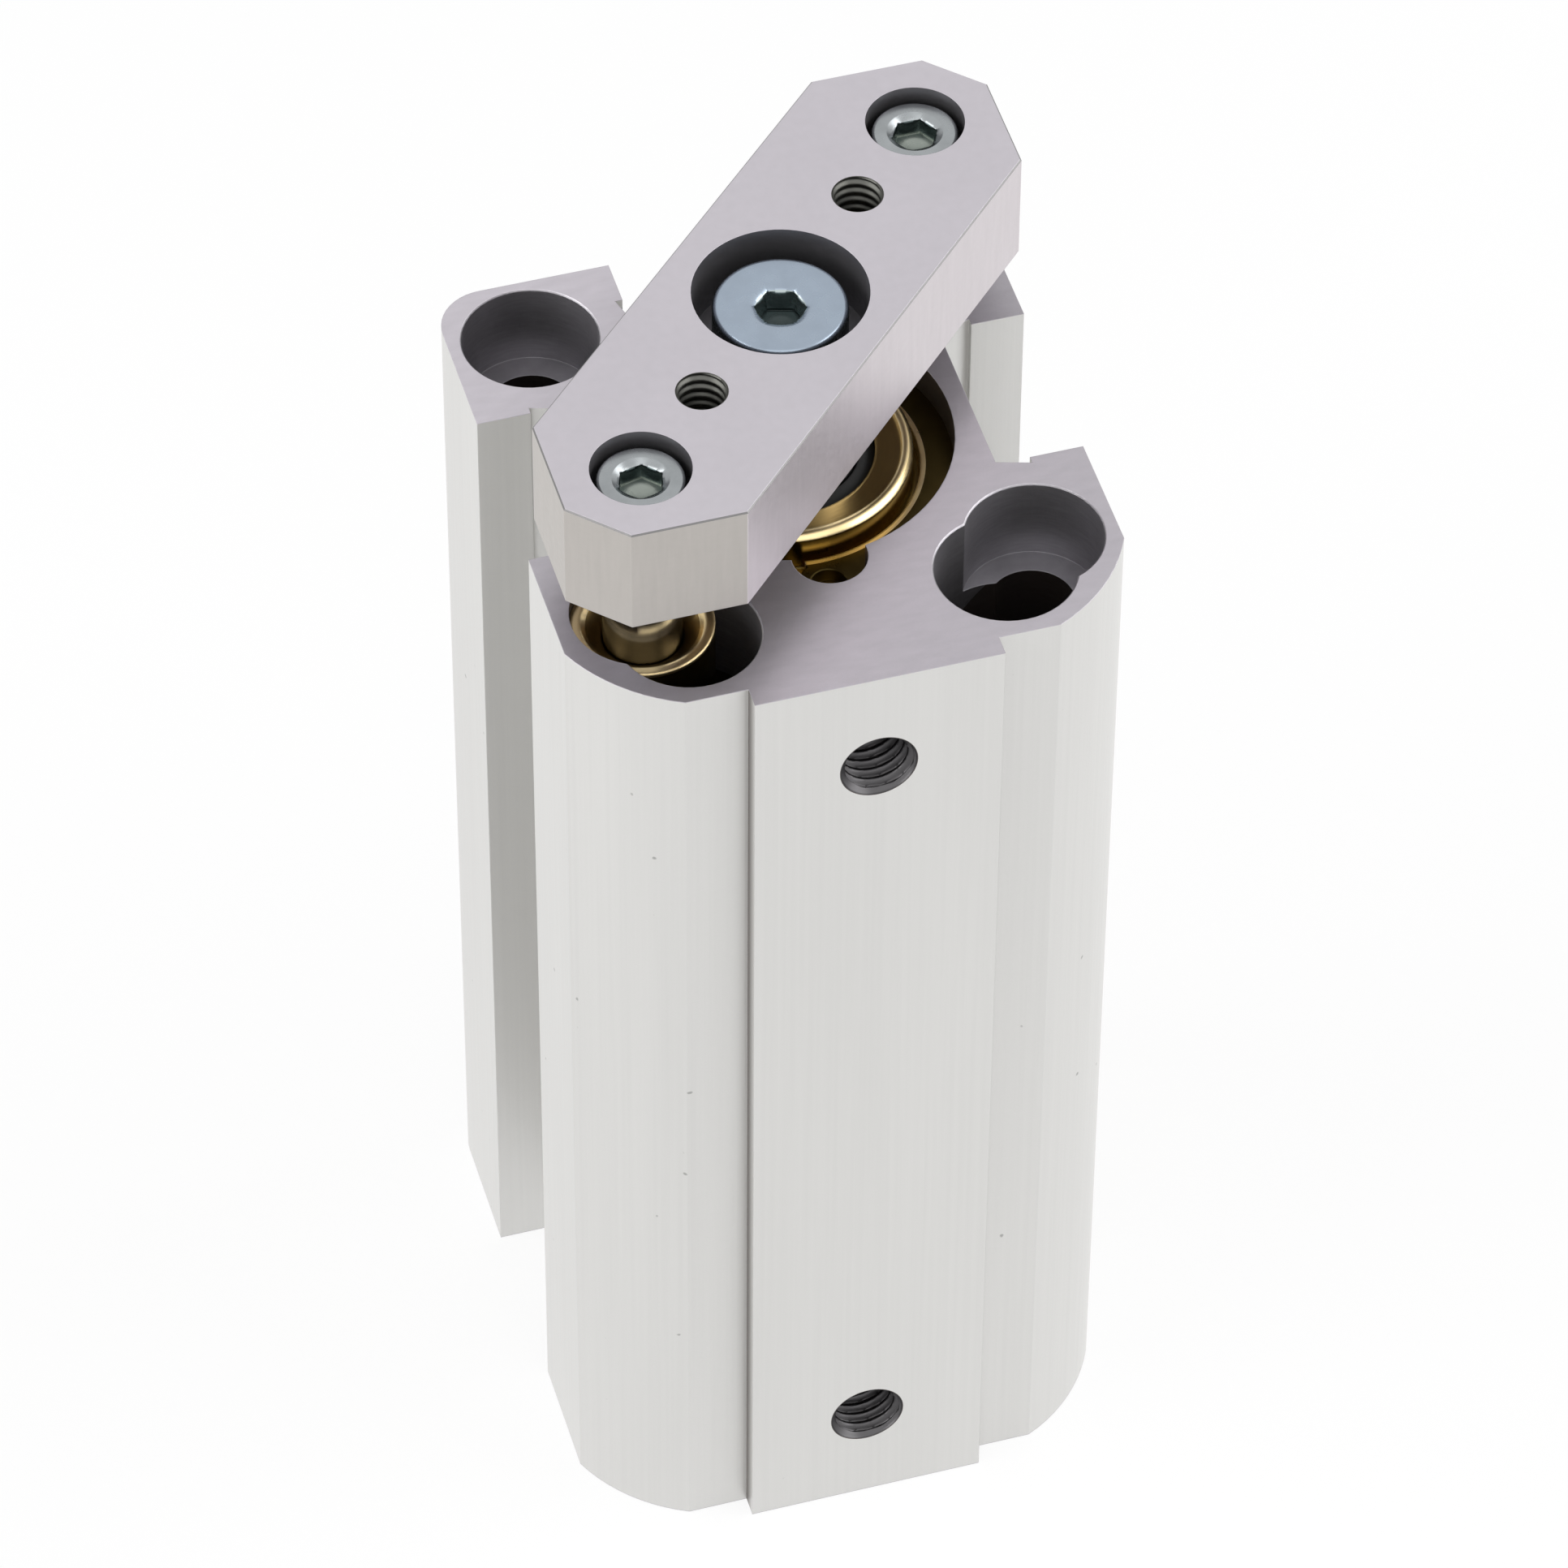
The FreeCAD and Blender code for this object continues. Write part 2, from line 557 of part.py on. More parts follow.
# Guides.
def make_guide_bush(label, x, y):
    """A plain bush with a dished mouth."""
    outer_r = half(size("bush_dia"))
    inner_r = added(GUIDE_ROD_R, size("run_gap"))
    rim_r = less(outer_r, size("bush_rim"))
    low = minus(size("bush_length"))
    return turned_part(label, [
        (inner_r, low), (outer_r, low), (outer_r, "0"), (rim_r, "0"), (inner_r, minus(size("bush_recess"))),
    ], (x, y, less(BARREL_LENGTH, size("bush_inset"))))


def make_guide_rod(label, x, y):
    """A rod from the tool plate down into the barrel, tapped for its screw."""
    broken = size("end_chamfer")
    length = less(PLATE_Z, size("guide_rod_inset"))
    hole_r = added(half(size("guide_screw_dia")), size("seat_gap"))
    hole_floor = less(length, less(size("guide_screw_length"), GUIDE_SCREW_GRIP), size("screw_hole_reserve"))
    return turned_part(label, [
        ("0", "0"), (less(GUIDE_ROD_R, broken), "0"), (GUIDE_ROD_R, broken),
        (GUIDE_ROD_R, less(length, broken)), (less(GUIDE_ROD_R, broken), length), (hole_r, length),
        (hole_r, hole_floor), ("0", hole_floor),
    ], (x, y, size("guide_rod_inset")))


# Moving parts.
ROD_SCREW_GRIP = less(size("plate_thickness"), size("rod_screw_sink"), size("rod_screw_head"))
GUIDE_SCREW_GRIP = less(size("plate_thickness"), size("guide_screw_sink"), size("guide_screw_head"))
BUMPER_SINK = less(size("bumper_height"), size("bumper_stand"))
PISTON_R = less(BORE_R, size("piston_gap"))
BUMPER_R = added(ROD_R, f"({size('bumper_share')} * {less(PISTON_R, ROD_R)})")
BUMPER_POCKET_R = added(BUMPER_R, size("seat_gap"))
ROD_SPIGOT_R = half(size("rod_spigot_dia"))
PISTON_HOLE_R = added(ROD_SPIGOT_R, size("seat_gap"))
AT_PISTON = ("0", "0", PISTON_Z)


def make_piston_rod():
    """The rod: a spigot for the piston below, a tapped hole for the centre screw above."""
    broken = size("end_chamfer")
    foot = added(PISTON_Z, BUMPER_SINK)
    shoulder = less(added(PISTON_Z, PISTON_LENGTH), BUMPER_SINK)
    hole_r = added(half(size("rod_screw_dia")), size("seat_gap"))
    hole_floor = less(PLATE_Z, less(size("rod_screw_length"), ROD_SCREW_GRIP), size("screw_hole_reserve"))
    return turned_part("piston_rod", [
        ("0", foot), (ROD_SPIGOT_R, foot), (ROD_SPIGOT_R, shoulder), (ROD_R, shoulder),
        (ROD_R, less(PLATE_Z, broken)), (less(ROD_R, broken), PLATE_Z), (hole_r, PLATE_Z),
        (hole_r, hole_floor), ("0", hole_floor),
    ])


def make_piston_head_half():
    """The head side of the piston, with the wear ring's groove and the magnet's hub."""
    groove_r = less(PISTON_R, size("wear_ring_depth"))
    groove_low = size("piston_end_land")
    groove_high = added(groove_low, size("wear_ring_height"))
    hub_r = half(size("hub_dia"))
    return turned_part("piston_head_half", [
        (PISTON_HOLE_R, BUMPER_SINK), (BUMPER_POCKET_R, BUMPER_SINK), (BUMPER_POCKET_R, "0"), (PISTON_R, "0"),
        (PISTON_R, groove_low), (groove_r, groove_low), (groove_r, groove_high), (PISTON_R, groove_high),
        (PISTON_R, PISTON_HEAD_PART), (hub_r, PISTON_HEAD_PART), (hub_r, PISTON_MAGNET_TOP),
        (PISTON_HOLE_R, PISTON_MAGNET_TOP),
    ], AT_PISTON)


def make_piston_rod_half():
    """The rod side of the piston, with the seal's groove."""
    groove_r = less(PISTON_R, size("piston_seal_depth"))
    face = less(PISTON_LENGTH, BUMPER_SINK)
    return turned_part("piston_rod_half", [
        (PISTON_HOLE_R, PISTON_MAGNET_TOP), (PISTON_R, PISTON_MAGNET_TOP), (PISTON_R, PISTON_SEAL_Z),
        (groove_r, PISTON_SEAL_Z), (groove_r, PISTON_SEAL_TOP), (PISTON_R, PISTON_SEAL_TOP),
        (PISTON_R, PISTON_LENGTH), (BUMPER_POCKET_R, PISTON_LENGTH), (BUMPER_POCKET_R, face),
        (PISTON_HOLE_R, face),
    ], AT_PISTON)


def make_piston_seal():
    """A two-way lip seal with a notch in both faces."""
    inner_r = added(less(PISTON_R, size("piston_seal_depth")), size("seat_gap"))
    outer_r = less(BORE_R, size("run_gap"))
    middle_r = half(added(inner_r, outer_r))
    lip = half(less(outer_r, middle_r))
    notch = half(half(size("piston_seal_height")))
    return turned_part("piston_seal", [
        (inner_r, PISTON_SEAL_Z), (less(middle_r, lip), PISTON_SEAL_Z),
        (middle_r, added(PISTON_SEAL_Z, notch)), (added(middle_r, lip), PISTON_SEAL_Z),
        (outer_r, PISTON_SEAL_Z), (outer_r, PISTON_SEAL_TOP),
        (added(middle_r, lip), PISTON_SEAL_TOP), (middle_r, less(PISTON_SEAL_TOP, notch)),
        (less(middle_r, lip), PISTON_SEAL_TOP), (inner_r, PISTON_SEAL_TOP),
    ], AT_PISTON)


def make_piston_trim():
    """The wear ring, the magnet and the two bumpers."""
    wear_inner_r = added(less(PISTON_R, size("wear_ring_depth")), size("seat_gap"))
    wear_low = size("piston_end_land")
    wear_high = added(wear_low, size("wear_ring_height"))
    rod_bumper_low = less(PISTON_LENGTH, BUMPER_SINK)
    return [
        sleeve("wear_ring", wear_inner_r, less(BORE_R, size("run_gap")), wear_low, wear_high, AT_PISTON),
        sleeve("piston_magnet", added(half(size("hub_dia")), size("seat_gap")),
               less(PISTON_R, size("magnet_cover")), PISTON_HEAD_PART, PISTON_MAGNET_TOP, AT_PISTON),
        sleeve("head_bumper", "0", BUMPER_R, minus(size("bumper_stand")), BUMPER_SINK, AT_PISTON),
        sleeve("rod_bumper", added(ROD_R, size("seat_gap")), BUMPER_R, rod_bumper_low,
               added(rod_bumper_low, size("bumper_height")), AT_PISTON),
    ]


def make_tool_plate():
    """A diagonal bar, cut from a square with bevelled corners, that joins the three rods."""
    body = new_body("tool_plate", ("0", "0", PLATE_Z))
    thickness = size("plate_thickness")
    reach = added(GUIDE_AXIS, size("plate_margin"))
    cut = less(reach, size("plate_corner_cut"))
    side = less(reach, f"(sqrt(2) * {half(size('plate_band'))})")
    outline = new_sketch(body, "Outline", "XY_Plane")
    draw_outline(outline, [
        (reach, side), (reach, cut), (cut, reach), (side, reach),
        (minus(reach), minus(side)), (minus(reach), minus(cut)), (minus(cut), minus(reach)),
        (minus(side), minus(reach)),
    ])
    bar = pad(body, "Bar", outline, thickness)
    chamfer(body, "Edges", bar, size("plate_chamfer"), lambda edge: not is_upright(edge))
    tool_hole = f"({size('tool_hole_pcd')} / 2 / sqrt(2))"
    corners = ((GUIDE_AXIS, GUIDE_AXIS), (minus(GUIDE_AXIS), minus(GUIDE_AXIS)))
    tools = ((tool_hole, tool_hole), (minus(tool_hole), minus(tool_hole)))
    centre = (("0", "0"),)
    rod_screw_pocket = less(thickness, ROD_SCREW_GRIP)
    guide_screw_pocket = less(thickness, GUIDE_SCREW_GRIP)
    steps = (
        ("RodScrewHole", centre, screw_hole_r("rod_screw"), None),
        ("RodScrewPocket", centre, screw_pocket_r("rod_screw"), rod_screw_pocket),
        ("GuideScrewHoles", corners, screw_hole_r("guide_screw"), None),
        ("GuideScrewPockets", corners, screw_pocket_r("guide_screw"), guide_screw_pocket),
        ("ToolHoles", tools, half(size("tool_hole_dia")), None),
    )
    for name, places, radius, depth in steps:
        circles = new_sketch(body, name + "Circles", "XY_Plane", thickness)
        draw_circles(circles, [(x, y, radius) for x, y in places])
        pocket(body, name, circles, depth)
    return body


def is_upright(edge):
    low, high = edge.Vertexes
    return abs(low.Z - high.Z) > 1e-4


def screw_hole_r(screw):
    return added(half(size(screw + "_dia")), size("run_gap"))


def screw_pocket_r(screw):
    return added(half(size(screw + "_head_dia")), size(screw + "_side"))


def make_screw(label, screw, x, y, sink):
    """A socket head screw, its head's top face a sink below the top of the tool plate."""
    body = new_body(label, (x, y, less(PLATE_TOP, sink)))
    shank_r = half(size(screw + "_dia"))
    head_r = half(size(screw + "_head_dia"))
    edge = size("screw_edge")
    under = minus(size(screw + "_head"))
    tip = less(under, size(screw + "_length"))
    turn(body, "Turned", [
        ("0", tip), (less(shank_r, edge), tip), (shank_r, added(tip, edge)), (shank_r, under),
        (head_r, under), (head_r, minus(edge)), (less(head_r, edge), "0"), ("0", "0"),
    ])
    across = size(screw + "_socket")
    corner_r = f"({across} / sqrt(3))"
    socket = new_sketch(body, "SocketSection", "XY_Plane")
    draw_outline(socket, [
        (f"({corner_r} * cos({60 * side} deg))", f"({corner_r} * sin({60 * side} deg))") for side in range(6)
    ])
    pocket(body, "Socket", socket, f"({size('socket_depth_share')} * {size(screw + '_head')})")
    return body


def make_guide_screws():
    """Both guide rod screws as one group."""
    first = make_screw("guide_screw", "guide_screw", GUIDE_AXIS, GUIDE_AXIS, size("guide_screw_sink"))
    second = doc.addObject("Part::Mirroring", "guide_screw_mirrored")
    second.Source = first
    second.Normal = FreeCAD.Vector(1, 1, 0)
    group = doc.addObject("Part::Compound", "guide_screws")
    group.Label = "guide_screws"
    group.Links = [first, second]
    doc.recompute()
    return group


def build_all():
    o_ring_offset = half(size("cover_flange"))
    rod_ring_z = less(BARREL_LENGTH, size("rod_ring_inset"), size("ring_thickness"))
    front = (minus(GUIDE_AXIS), minus(GUIDE_AXIS))
    rear = (GUIDE_AXIS, GUIDE_AXIS)
    return [
        make_barrel(),
        make_rod_cover(),
        make_o_ring("rod_cover_o_ring", added(ROD_SEAT, o_ring_offset)),
        make_rod_wiper(),
        make_rod_seal(),
        make_retaining_ring("rod_cover_retaining_ring", rod_ring_z),
        make_head_cover(),
        make_o_ring("head_cover_o_ring", less(HEAD_SEAT, o_ring_offset)),
        make_retaining_ring("head_cover_retaining_ring", size("head_ring_inset")),
        make_guide_bush("guide_bush_front", *front),
        make_guide_bush("guide_bush_rear", *rear),
        make_guide_rod("guide_rod_front", *front),
        make_guide_rod("guide_rod_rear", *rear),
        make_piston_rod(),
        make_piston_head_half(),
        make_piston_rod_half(),
        make_piston_seal(),
        *make_piston_trim(),
        make_tool_plate(),
        make_screw("rod_screw", "rod_screw", "0", "0", size("rod_screw_sink")),
        make_guide_screws(),
    ]


pieces = build_all()
doc.recompute()
for item in doc.Objects:
    if "Invalid" in item.State or "Error" in item.State:
        raise RuntimeError(f"{item.Label} failed: {item.State}")
for piece in pieces:
    if piece.Shape.isNull() or not piece.Shape.isValid():
        raise RuntimeError(f"{piece.Label} has no valid shape")
os.makedirs("parts", exist_ok=True)
for piece in pieces:
    piece.Shape.exportStep(os.path.join("parts", piece.Label + ".step"))
    print(f"{piece.Label}: {piece.Shape.Volume:.1f} mm3")
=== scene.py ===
"""Looks of a compact guided pneumatic cylinder: finishes, screws, threads and a plain studio.

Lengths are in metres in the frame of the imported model: +Z runs from the base face to the
tool plate, -Y towards the air ports, and x = y = 0 is the bore axis. Materials work in
millimetres, which they get from the Object coordinates.
"""

import json
import math

import bpy
import numpy as np
from mathutils import Matrix, Vector


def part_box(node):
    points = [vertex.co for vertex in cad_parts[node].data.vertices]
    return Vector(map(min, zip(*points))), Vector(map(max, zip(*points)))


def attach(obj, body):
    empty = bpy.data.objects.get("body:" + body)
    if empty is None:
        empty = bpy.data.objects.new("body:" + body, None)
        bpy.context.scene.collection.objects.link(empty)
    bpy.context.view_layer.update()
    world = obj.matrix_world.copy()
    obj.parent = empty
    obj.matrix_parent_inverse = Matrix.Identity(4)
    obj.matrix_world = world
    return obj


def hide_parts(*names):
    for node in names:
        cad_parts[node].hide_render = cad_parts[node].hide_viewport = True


bl_info = {
    "name": "Guided cylinder looks",
    "version": (1, 0, 0),
    "blender": (4, 5, 0),
    "location": "3D View > Sidebar > Cylinder",
    "description": "Finishes, socket screws, threads and studio for a guided pneumatic cylinder",
    "category": "Object",
}

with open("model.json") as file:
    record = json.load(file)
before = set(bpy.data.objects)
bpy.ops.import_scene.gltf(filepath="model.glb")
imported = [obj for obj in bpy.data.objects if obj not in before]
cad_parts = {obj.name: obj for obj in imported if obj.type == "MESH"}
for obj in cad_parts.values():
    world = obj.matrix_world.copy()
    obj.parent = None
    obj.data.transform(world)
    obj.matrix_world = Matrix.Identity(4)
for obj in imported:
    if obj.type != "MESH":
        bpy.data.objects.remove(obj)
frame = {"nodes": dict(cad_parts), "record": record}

MM = 0.001
MOUNTS = {mount["name"]: mount for mount in frame["record"]["mounts"]}
BARREL_LOW, BARREL_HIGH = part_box("barrel")
PLATE_LOW, PLATE_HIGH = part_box("tool_plate")
ROD_SCREW_LOW, ROD_SCREW_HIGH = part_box("rod_screw")
GUIDE_SCREWS_LOW, GUIDE_SCREWS_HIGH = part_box("guide_screws")
GUIDE_FRONT = sum(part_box("guide_rod_front"), Vector()) / 2
GUIDE_REAR = sum(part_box("guide_rod_rear"), Vector()) / 2

# Places on the modelled parts that the finishes follow, in millimetres. A hole is (x, y, z, radius).
PAD_SIDE_X = 8.0  # side faces of the port pad
PAD_CORNER_START = -21.9  # y where the painted shade down the pad's corner starts
PAD_CORNER_END = -20.9  # y where the painted shade down the pad's corner is darkest
RING_GROOVE = (0, 0, 0, 11.5)
EAR_NOTCH = (0, -11.0, 0, 2.4)  # room for the eyes of the retaining ring
RELIEF_POCKETS = [(10.2, -15.0, 0, 4.5), (-10.2, -15.0, 0, 4.5)]
BUSH_SEAT_R = 4.55
RECESS_R = 4.4  # screw head recesses of the mounting holes
RECESS_DEPTH = 6.0
CENTRE_POCKET = (0, 0, 0, 5.55)
GUIDE_POCKET_R = 3.15
PLATE_BAND = 15.0  # width of the tool plate across its long sides
COVER_BORE_R = 8.0  # inside the rim of the rod cover
BUSH_BORE_R = 3.95  # inside the rim of a guide bush
RIM_DEPTH = 0.31  # faced rims of the rod cover and the bushes, which carry a painted highlight
RING_GLINT_R = 9.2  # inner edge of the retaining rings, which carries a painted highlight
SOCKET_EDGE = 0.3  # screw faces above this depth are plain zinc; below it the sockets take colours of painted shade and dark residue

# Place and watts of each lamp.
LAMPS = {
    "lamp_left": ((-0.80, -0.05, 0.25), 6.5),
    "lamp_right": ((0.75, -0.25, 0.30), 5.8),
    "lamp_front": ((-0.15, -0.70, 0.70), 1.3),
}
LAMP_TARGET = (0.0, 0.0, 0.05)


# Sizes and colours that a user would change.
def length(name, description, default):
    return bpy.props.FloatProperty(
        name=name, description=description, default=default, min=0.0, precision=5, unit="LENGTH")


def colour(name, description, default):
    return bpy.props.FloatVectorProperty(
        name=name, description=description, default=default, size=3, min=0.0, max=1.0, subtype="COLOR")


def share(name, description, default):
    return bpy.props.FloatProperty(
        name=name, description=description, default=default, min=0.0, max=1.0, subtype="FACTOR")


def angle(name, description, default):
    return bpy.props.FloatProperty(
        name=name, description=description, default=math.radians(default), subtype="ANGLE", unit="ROTATION")


class CylinderFinishes(bpy.types.PropertyGroup):
    """Colours and roughness of the machined parts."""

    extruded: colour("Extruded sides", "Anodised outside of the barrel", (0.67, 0.665, 0.65))
    # The milled ends are darker than the sides partly for their milling and partly as painted shade on the
    # top faces.
    milled: colour("Milled ends", "Milled end faces of the barrel", (0.47, 0.445, 0.48))
    # The drilled walls are painted darker than the sides, partly as duller metal and partly as painted
    # shade.
    drilled: colour("Drilled holes", "Walls of the screw recesses and pockets", (0.33, 0.32, 0.34))
    # Painted shade: near black for the bores, bush seats, ports, deep parts of the pockets and the port
    # pad's corners.
    bore_shade: colour("Bores", "Walls of the cylinder bore, the bush seats and the ports", (0.12, 0.10, 0.09))
    plate_top: colour("Plate faces", "Flat faces of the tool plate", (0.55, 0.523, 0.561))
    # Painted light and shade on the plate: the broken edges are painted dark, the long sides lit and the
    # ends shaded.
    plate_edge_shade: colour("Plate corners", "Broken edges of the tool plate", (0.19, 0.187, 0.187))
    lit_plate_side: colour("Plate sides", "Milled long sides of the tool plate", (0.615, 0.577, 0.596))
    shaded_plate_tip: colour("Plate tips", "Sawn ends of the tool plate", (0.475, 0.45, 0.425))
    brass: colour("Brass", "Outsides of the rod cover and bushes", (0.25, 0.175, 0.05))
    bored_brass: colour("Bored brass", "Rod cover and bushes inside their rims", (0.42, 0.29, 0.11))
    # Painted highlight: faced brass painted brighter as a highlight on the rims.
    rim_highlight_brass: colour("Bright brass", "Faced rims of the rod cover and bushes", (0.97, 0.77, 0.42))
    ring: colour("Ring steel", "Yellow passivated retaining rings", (0.09, 0.065, 0.02))
    # Painted highlight: the lit inner edge of the retaining rings.
    ring_glint: colour("Ring edge", "Rubbed inner edge of the retaining rings", (1.0, 0.78, 0.42))
    chrome: colour("Chrome", "Piston rod", (0.50, 0.50, 0.51))
    # Painted shade: the guide rods are painted darker than the piston rod.
    shaded_guide_chrome: colour("Guide chrome", "Hardened guide rods", (0.30, 0.30, 0.315))
    zinc: colour("Zinc", "Zinc plated centre screw", (0.34, 0.40, 0.475))
    dull_zinc: colour("Dull zinc", "Zinc plated guide rod screws", (0.34, 0.36, 0.37))
    # Socket colours: painted shade, with some dark residue, on the walls and floors of the sockets.
    centre_wall: colour("Centre socket wall", "Wall of the centre screw's socket", (0.38, 0.43, 0.43))
    centre_floor: colour("Centre socket floor", "Floor of the centre screw's socket", (0.06, 0.075, 0.075))
    guide_wall: colour("Guide socket walls", "Walls of the guide rod screws' sockets", (0.12, 0.15, 0.15))
    guide_floor: colour("Guide socket floors", "Floors of the guide rod screws' sockets", (0.30, 0.33, 0.30))
    rubber: colour("Rubber", "Seals, O-rings and bumpers", (0.02, 0.02, 0.02))
    plastic: colour("Plastic", "Wear ring", (0.78, 0.75, 0.66))
    magnet: colour("Magnet", "Bonded magnet of the piston", (0.08, 0.08, 0.085))
    pits: colour("Pits", "Small pits in the anodised sides", (0.16, 0.16, 0.15))
    # Painted shade: the threads deep in the holes are painted near black.
    port_thread: colour("Port threads", "Threads of the air ports", (0.10, 0.097, 0.10))
    plate_thread: colour("Plate threads", "Threads in the tool plate", (0.12, 0.12, 0.11))
    satin: share("Satin roughness", "Roughness of the anodised faces", 0.42)
    polish: share("Polished roughness", "Roughness of the ground rods", 0.14)


class CylinderScrews(bpy.types.PropertyGroup):
    """Sizes of the socket screws in the tool plate."""

    centre_socket: length("Centre socket", "Hexagon socket across flats", 2.8 * MM)
    guide_socket: length("Guide socket", "Hexagon sockets across flats", 2.5 * MM)
    centre_head: length("Centre head", "Height of the centre screw's head", 3.5 * MM)
    guide_head: length("Guide head", "Height of the guide screws' heads", 3.0 * MM)
    guide_face: length("Guide face", "Depth of the faces turned off the guide screws' heads", 0.45 * MM)
    centre_shank: length("Centre shank", "Diameter under the centre screw's head", 5.0 * MM)
    guide_shank: length("Guide shank", "Diameter under the guide screws' heads", 3.0 * MM)
    centre_turn: angle("Centre turn", "Direction of a corner of the centre socket", -16.5)
    front_turn: angle("Front turn", "Direction of a corner of the front guide socket", 73.5)
    rear_turn: angle("Rear turn", "Direction of a corner of the rear guide socket", 60.0)
    knurl_depth: length("Knurl depth", "Depth of the grooves round the heads", 0.06 * MM)


class CylinderThreads(bpy.types.PropertyGroup):
    """Sizes of the threads that are seen."""

    port_pitch: length("Port pitch", "Pitch of the port threads", 0.8 * MM)
    port_crest: length("Port crest", "Radius of the port threads' crests", 2.07 * MM)
    plate_pitch: length("Plate pitch", "Pitch of the threads in the tool plate", 0.7 * MM)
    plate_crest: length("Plate crest", "Radius of the plate threads' crests", 1.42 * MM)


class CylinderStudio(bpy.types.PropertyGroup):
    """Camera, lamps and floor."""

    azimuth: angle("Azimuth", "Camera direction from the front", -16.54)
    elevation: angle("Elevation", "Camera direction above level", 46.80)
    roll: angle("Roll", "Turn of the camera about its own axis", 0.35)
    distance: length("Distance", "Camera to the point it looks at", 0.5686)
    look_height: length("Look height", "Height of the point it looks at", 0.05218)
    lens: bpy.props.FloatProperty(
        name="Lens", description="Focal length in millimetres", default=200.8)
    shift_x: bpy.props.FloatProperty(
        name="Shift X", description="Sideways shift of the frame", default=0.0039)
    shift_y: bpy.props.FloatProperty(
        name="Shift Y", description="Upward shift of the frame", default=-0.0324)
    floor_colour: colour("Floor", "Colour of the floor", (0.94, 0.94, 0.94))
    floor_reach: length("Floor reach", "Half the width of the floor", 3.0)
    floor_glow: share("Floor glow", "How much of the floor is seen as plain white", 0.84)
    lamp_size: length("Lamp size", "Diameter of the lamps", 1.00)
    sky: share("Room light", "Strength of the light from all sides", 0.58)


# Mesh tools.
def grid_faces(rows, columns, closed_along):
    """Quads of a grid that wraps around: row i, column j joins row i + 1 and column j + 1."""
    first_rows = rows if closed_along else rows - 1
    row, column = np.meshgrid(np.arange(first_rows), np.arange(columns), indexing="ij")
    next_row = (row + 1) % rows
    next_column = (column + 1) % columns
    corners = [row * columns + column, row * columns + next_column,
               next_row * columns + next_column, next_row * columns + column]
    return np.stack(corners, -1).reshape(-1, 4)


def mesh_object(name, points, faces):
    mesh = bpy.data.meshes.new(name)
    mesh.from_pydata(points, [], faces)
    mesh.update()
    item = bpy.data.objects.new(name, mesh)
    bpy.context.scene.collection.objects.link(item)
    return item


def ring_object(name, points):
    """A closed tube from points of shape (rows, columns, 3); the last row joins the first."""
    rows, columns = points.shape[:2]
    return mesh_object(name, points.reshape(-1, 3), grid_faces(rows, columns, True))


def turned_object(name, points, first_pole, last_pole):
    """A closed shape from points of shape (rows, columns, 3), with a pole at either end."""
    rows, columns = points.shape[:2]
    count = rows * columns
    column = np.arange(columns)
    after = (column + 1) % columns
    top = (rows - 1) * columns
    first_fan = np.stack([np.full(columns, count), after, column], -1)
    last_fan = np.stack([np.full(columns, count + 1), top + column, top + after], -1)
    vertices = np.concatenate([points.reshape(-1, 3), [first_pole, last_pole]])
    faces = grid_faces(rows, columns, False).tolist() + first_fan.tolist() + last_fan.tolist()
    return mesh_object(name, vertices, faces)


def smooth_by_angle(item, degrees=32):
    item.data.shade_smooth()
    item.data.set_sharp_from_angle(angle=math.radians(degrees))


